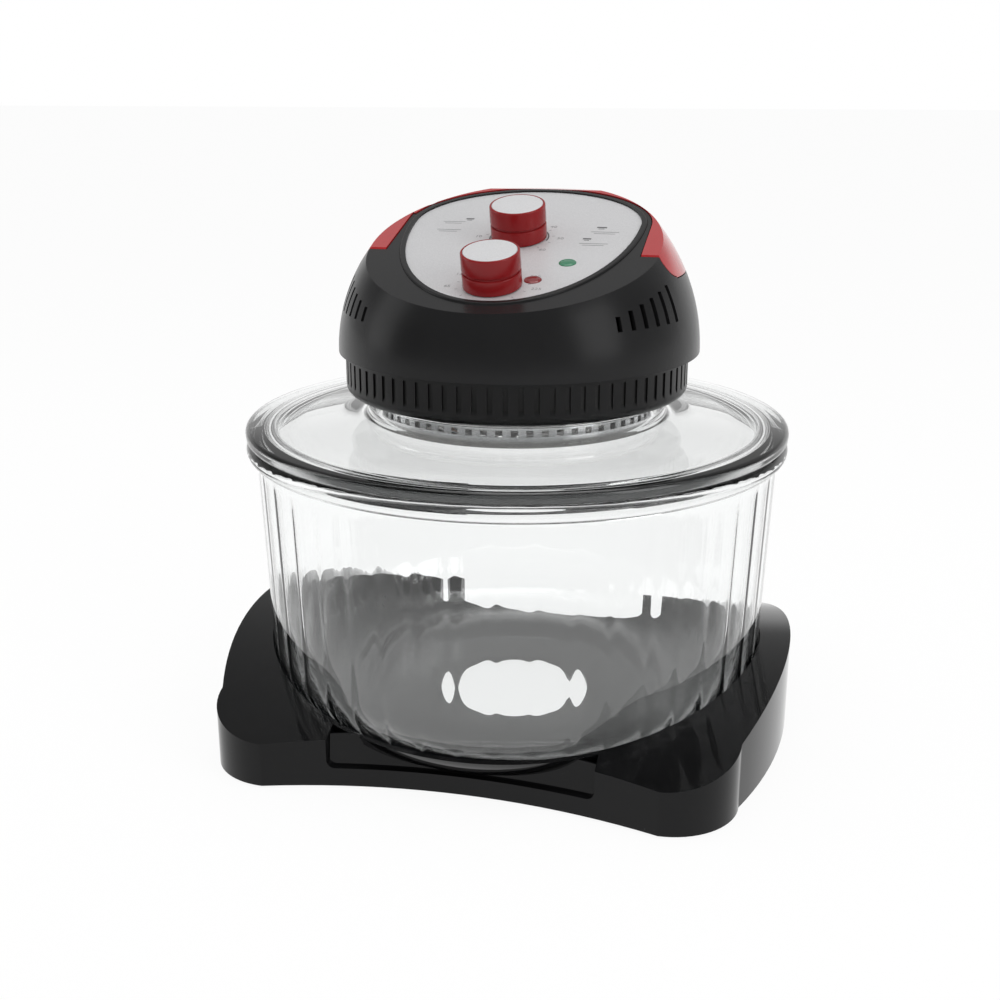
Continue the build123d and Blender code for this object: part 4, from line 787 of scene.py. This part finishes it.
def sink_vents(bm):
    """Press the vents into the wall, with sills that slope out; their backs take the second material."""
    pitch = 2 * math.pi / VENTS
    vents = []
    for face in bm.faces:
        middle = face.calc_center_median()
        turn = math.atan2(middle.y, middle.x) / pitch
        on_wall = middle.xy.length / MM > SKIRT_WIDE - SKIRT_SLACK
        if on_wall and VENT_LOW < middle.z / MM < VENT_HIGH and abs(turn - round(turn)) < VENT_MATCH:
            vents.append(face)
    bmesh.ops.inset_individual(bm, faces=vents, thickness=VENT_LIP * MM, depth=0.0)
    bmesh.ops.inset_individual(bm, faces=vents, thickness=0.0, depth=-VENT_DEPTH * MM)
    for face in vents:
        for corner in face.verts:
            if corner.co.z / MM < VENT_LOW + VENT_FOOT:
                corner.co.z += VENT_SILL * MM
        face.material_index = 1


def make_skirt():
    """Lower housing with a row of narrow upright vents."""
    bm = spun(skirt_outline(), 4 * VENTS)
    line_up_vents(bm)
    sink_vents(bm)
    bmesh.ops.recalc_face_normals(bm, faces=bm.faces)
    skirt = as_piece("skirt_vented_wall", bm, SKIRT_BLACK, "lid", 30.0)
    skirt.data.materials.append(VENT_SHADE)
    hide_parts("skirt_housing")


# ---------------------------------------------------------------- knobs and lenses
def knob_outline():
    """Two tiers with a groove between them and a recess in the top, down to the shaft's bore."""
    low, groove, high, wide = KNOB_LOW, KNOB_GROOVE, KNOB_HIGH, KNOB_WIDE
    profile = [(KNOB_BORE, low), (wide - 0.5, low)] + arc((wide - 0.5, low + 0.5), 0.5, -60.0, 0.0, 3)
    profile += arc((wide - 0.7, groove - 1.3), 0.7, 0.0, 80.0, 4)
    profile += [(wide - 1.2, groove - 0.5), (wide - 1.25, groove), (wide - 1.2, groove + 0.5)]
    profile += arc((wide - 0.7, groove + 1.3), 0.7, -80.0, 0.0, 4)
    profile += arc((wide - 1.0, high - 1.0), 0.9, 0.0, 90.0, 6)
    profile += [(wide - 1.35, high - 0.2), (wide - 1.4, high - 0.5), (wide - 1.4, CAP_SEAT), (0.0, CAP_SEAT)]
    return profile + [(0.0, KNOB_BORE_TOP), (KNOB_BORE, KNOB_BORE_TOP)]


def cap_outline():
    """The silver disc that is let into a knob's top."""
    disc, low, high = KNOB_WIDE - 1.5, CAP_SEAT + CAP_GAP, KNOB_HIGH
    profile = [(0.0, low), (disc, low), (disc, high - 0.5)]
    profile += arc((disc - 0.4, high - 0.5), 0.4, 20.0, 90.0, 4)
    return profile + [(disc - 1.4, high - 0.05), (9.0, high + 0.02), (0.0, high + 0.05)]


def bored_solid(profile, place):
    """A knob's solid: the outline runs from the bore's mouth over the top and back down the bore."""
    bm = bmesh.new()
    corners = [bm.verts.new((r * MM, 0.0, z * MM)) for r, z in profile]
    for first, second in zip(corners, corners[1:] + corners[:1]):
        if max(first.co.x, second.co.x) > 0.0:
            bm.edges.new((first, second))
    turn_about_axis(bm, KNOB_STEPS)
    bmesh.ops.transform(bm, matrix=on_panel(*place), verts=bm.verts)
    return bm


def make_knob(name, body, place):
    """Two red tiers with a groove between them and a silver disc let into the top."""
    knob = as_piece(name + "_tiers", bored_solid(knob_outline(), place), KNOB_RED, body, 30.0)
    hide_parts(name + "_knob")
    disc = spun(cap_outline(), KNOB_STEPS, on_panel(*place))
    cap = as_piece(name + "_silver_cap", disc, SILVER_CAP, body, 30.0)
    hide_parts(name + "_knob_cap")


def make_lens(name, node, material, place):
    """Low domed lens with fine rings, its stem and the flange behind the panel."""
    profile = [(0.0, -4.6), (LENS_FLANGE, -4.6), (LENS_FLANGE, -3.1), (LENS_HOLE, -3.1), (LENS_HOLE, 0.25)]
    profile += [(4.7, 0.45), (4.2, 0.4), (3.7, 0.62), (3.2, 0.57), (2.6, 0.78), (2.1, 0.74)]
    profile += [(1.5, 0.92), (0.9, 0.9), (0.0, 1.0)]
    lens = as_piece(name, spun(profile, LENS_STEPS, on_panel(*place)), material, "lid", 25.0)
    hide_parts(node)


# ---------------------------------------------------------------- panel printing
def printed(name, bm, material):
    """A flat print that lies on the panel."""
    bmesh.ops.recalc_face_normals(bm, faces=bm.faces)
    piece = as_piece(name, bm, material, "lid")
    return piece


def add_bar(bm, u, v, length, width, turn=0.0):
    """A thin printed bar at a place on the panel."""
    place = on_panel(u, v, PRINT_LEVEL) @ Matrix.Rotation(turn, 4, "Z")
    size = Matrix.Diagonal((length * MM, width * MM, PRINT_THICKNESS * MM, 1.0))
    bmesh.ops.create_cube(bm, size=1.0, matrix=place @ size)


def add_number(bm, text, u, v, height):
    """A printed number, centred on its place."""
    curve = bpy.data.curves.new("number", "FONT")
    curve.body = text
    curve.size = height * MM
    curve.align_x, curve.align_y = "CENTER", "CENTER"
    curve.extrude = 0.5 * PRINT_THICKNESS * MM
    curve.resolution_u = 3
    holder = bpy.data.objects.new("number", curve)
    bpy.context.scene.collection.objects.link(holder)
    mesh = bpy.data.meshes.new_from_object(holder)
    mesh.transform(on_panel(u, v, PRINT_LEVEL))
    bm.from_mesh(mesh)
    bpy.data.objects.remove(holder)
    bpy.data.meshes.remove(mesh)


def add_arc_band(bm, u, v, radius, width, start, end, count):
    """A printed band that follows part of a circle."""
    for i in range(count):
        turn = math.radians(start + (end - start) * (i + 0.5) / count)
        step = math.radians(abs(end - start) / count) * radius * BAND_OVERLAP
        add_bar(bm, u + radius * math.cos(turn), v + radius * math.sin(turn), width, step, turn)


def add_scale(bm, knob, labels, radius, step, height):
    """Ticks round a knob, and its numbers clockwise from the lower left."""
    for i in range(SCALE_TICKS):
        turn = math.radians(SCALE_START - TICK_STEP * i)
        u = knob[0] + TICK_RADIUS * math.cos(turn)
        v = knob[1] + TICK_RADIUS * math.sin(turn)
        add_bar(bm, u, v, TICK_LENGTH, TICK_WIDTH, turn)
    for i, text in enumerate(labels):
        turn = math.radians(SCALE_START - step * i)
        add_number(bm, text, knob[0] + radius * math.cos(turn), knob[1] + radius * math.sin(turn), height)


def make_panel_print():
    """Scales round both knobs and small plain marks, with numbers only."""
    scale = bmesh.new()
    minutes = ("0", "10", "20", "30", "40", "50", "60")
    degrees = ("0", "65", "125", "150", "175", "200", "225", "250")
    add_scale(scale, TIMER_PLACE, minutes, radius=25.0, step=45.0, height=4.2)
    add_scale(scale, THERMOSTAT_PLACE, degrees, radius=25.5, step=38.5, height=4.0)
    printed("panel_scale_print", scale, PRINT_PALE)
    marks = bmesh.new()
    add_arc_band(marks, *TIMER_PLACE, radius=17.6, width=0.9, start=-12.0, end=192.0, count=48)
    for u, v, length in MARKS:
        add_bar(marks, u, v, length, MARK_WIDTH)
        add_bar(marks, u, v - TAIL_DROP, length * TAIL_SHARE, TAIL_WIDTH)
    printed("panel_mark_print", marks, PRINT_GREY)
    notes = bmesh.new()
    for u, v, length in NOTES:
        for row in range(2):
            add_bar(notes, u, v - LINE_DROP * row, length * (1.0 - LINE_SHORTER * row), LINE_WIDTH)
    printed("panel_note_print", notes, PRINT_PALE)


# ---------------------------------------------------------------- studio
# Brightness of the floor where it is seen, and of the room by direction
FLOOR_GLOW, FLOOR_GLOW_SHARE = 1.03, 0.9
ROOM_FRONT, ROOM_OVERHEAD, ROOM_SIDES = 0.28, 0.47, 0.5
ROOM_OVERHEAD_MIRRORED, ROOM_LIGHT = 0.85, 0.55

# Where the room dims: towards -Y, towards +Z and towards both sides, as parts of a unit direction
FRONT_RUN, OVERHEAD_RUN, SIDES_RUN = (-0.35, 0.1), (0.12, 0.34), (0.55, 0.9)

# Soft lamps: place, size across and up, power
LAMP_AIM = (0, 0, 0.2)
SOFT_LAMPS = {
    "lamp_over": ((0.1, -0.1, 1.6), (1.2, 1.0), 7.0),
    "lamp_right": ((1.5, -0.7, 0.9), (0.8, 1.2), 7.0),
    "lamp_left": ((-1.5, -0.2, 0.8), (0.6, 1.2), 3.0),
}


def make_floor():
    """A wide pale floor that keeps the oven's soft shadow."""
    bm = bmesh.new()
    bmesh.ops.create_grid(bm, x_segments=1, y_segments=1, size=20.0)
    mesh = bpy.data.meshes.new("studio_floor")
    bm.to_mesh(mesh)
    bm.free()
    floor = bpy.data.objects.new("studio_floor", mesh)
    bpy.context.scene.collection.objects.link(floor)
    material, tree, shader, out = start_material("pale_floor")
    shader.inputs["Base Color"].default_value = (0.8, 0.8, 0.8, 1)
    shader.inputs["Roughness"].default_value = 0.9
    shader.inputs["Specular IOR Level"].default_value = 0.1
    glow = add(tree, "ShaderNodeEmission", Strength=FLOOR_GLOW)
    mix = add(tree, "ShaderNodeMixShader")
    join(tree, calculate(tree, "MULTIPLY", seen_rays(tree), FLOOR_GLOW_SHARE), mix.inputs["Fac"])
    join(tree, shader.outputs[0], mix.inputs[1])
    join(tree, glow.outputs[0], mix.inputs[2])
    join(tree, mix.outputs[0], out.inputs["Surface"])
    mesh.materials.append(material)


def seen_rays(tree):
    """1 for camera, glossy and transmission rays."""
    path = add(tree, "ShaderNodeLightPath").outputs
    direct = calculate(tree, "MAXIMUM", path["Is Camera Ray"], path["Is Glossy Ray"])
    return calculate(tree, "MAXIMUM", direct, path["Is Transmission Ray"])


def room_brightness(tree):
    """White for the camera; in the glass and gloss the room is dimmer in front, overhead and aside."""
    place = add(tree, "ShaderNodeTexCoord")
    parts = add(tree, "ShaderNodeSeparateXYZ")
    join(tree, place.outputs["Generated"], parts.inputs[0])
    path = add(tree, "ShaderNodeLightPath").outputs
    front = run_between(tree, parts.outputs["Y"], *FRONT_RUN, ROOM_FRONT, 1.0)
    overhead = run_between(tree, parts.outputs["Z"], *OVERHEAD_RUN, 1.0, ROOM_OVERHEAD)
    first_mirror = calculate(tree, "LESS_THAN", path["Ray Depth"], 1.5)
    mirrored = calculate(tree, "MULTIPLY", first_mirror, ROOM_OVERHEAD_MIRRORED)
    above = calculate(tree, "MAXIMUM", overhead, mirrored)
    across = calculate(tree, "ABSOLUTE", parts.outputs["X"])
    sides = run_between(tree, across, *SIDES_RUN, 1.0, ROOM_SIDES)
    level = calculate(tree, "MULTIPLY", front, calculate(tree, "MULTIPLY", above, sides))
    return calculate(tree, "MAXIMUM", level, path["Is Camera Ray"])


def make_world():
    """The white studio round the oven, and the even light that it gives."""
    world = bpy.data.worlds.new("studio")
    bpy.context.scene.world = world
    world.use_nodes = True
    tree = world.node_tree
    tree.nodes.clear()
    out = tree.nodes.new("ShaderNodeOutputWorld")
    shown = add(tree, "ShaderNodeBackground", Color=(1, 1, 1, 1))
    join(tree, room_brightness(tree), shown.inputs["Strength"])
    light = add(tree, "ShaderNodeBackground", Color=(1, 1, 1, 1), Strength=ROOM_LIGHT)
    mix = add(tree, "ShaderNodeMixShader")
    join(tree, seen_rays(tree), mix.inputs["Fac"])
    join(tree, light.outputs[0], mix.inputs[1])
    join(tree, shown.outputs[0], mix.inputs[2])
    join(tree, mix.outputs[0], out.inputs["Surface"])


def soft_lamp(name, place, size, power):
    """A soft oblong lamp turned towards the oven."""
    data = bpy.data.lights.new(name, "AREA")
    data.shape = "RECTANGLE"
    data.size, data.size_y = size
    data.energy = power
    lamp = bpy.data.objects.new(name, data)
    bpy.context.scene.collection.objects.link(lamp)
    lamp.location = place
    lamp.rotation_euler = (Vector(LAMP_AIM) - Vector(place)).to_track_quat("-Z", "Y").to_euler()


def make_lamps():
    """One soft lamp above the oven and one on each side."""
    for name, (place, size, power) in SOFT_LAMPS.items():
        soft_lamp(name, place, size, power)


# ---------------------------------------------------------------- build it all
bpy.context.scene.view_settings.view_transform = "Standard"
set_camera()
finish_frame_nodes()
make_notch_web()
make_glass_bowl()
make_lid_glass()
make_skirt()
make_knob("timer", "timer_control", TIMER_PLACE)
make_knob("thermostat", "thermostat_control", THERMOSTAT_PLACE)
make_lens("green_ring_lens", "green_indicator_lens", GREEN_LENS, GREEN_PLACE)
make_lens("red_ring_lens", "red_indicator_lens", RED_LENS, RED_PLACE)
make_panel_print()
make_floor()
make_world()
make_lamps()
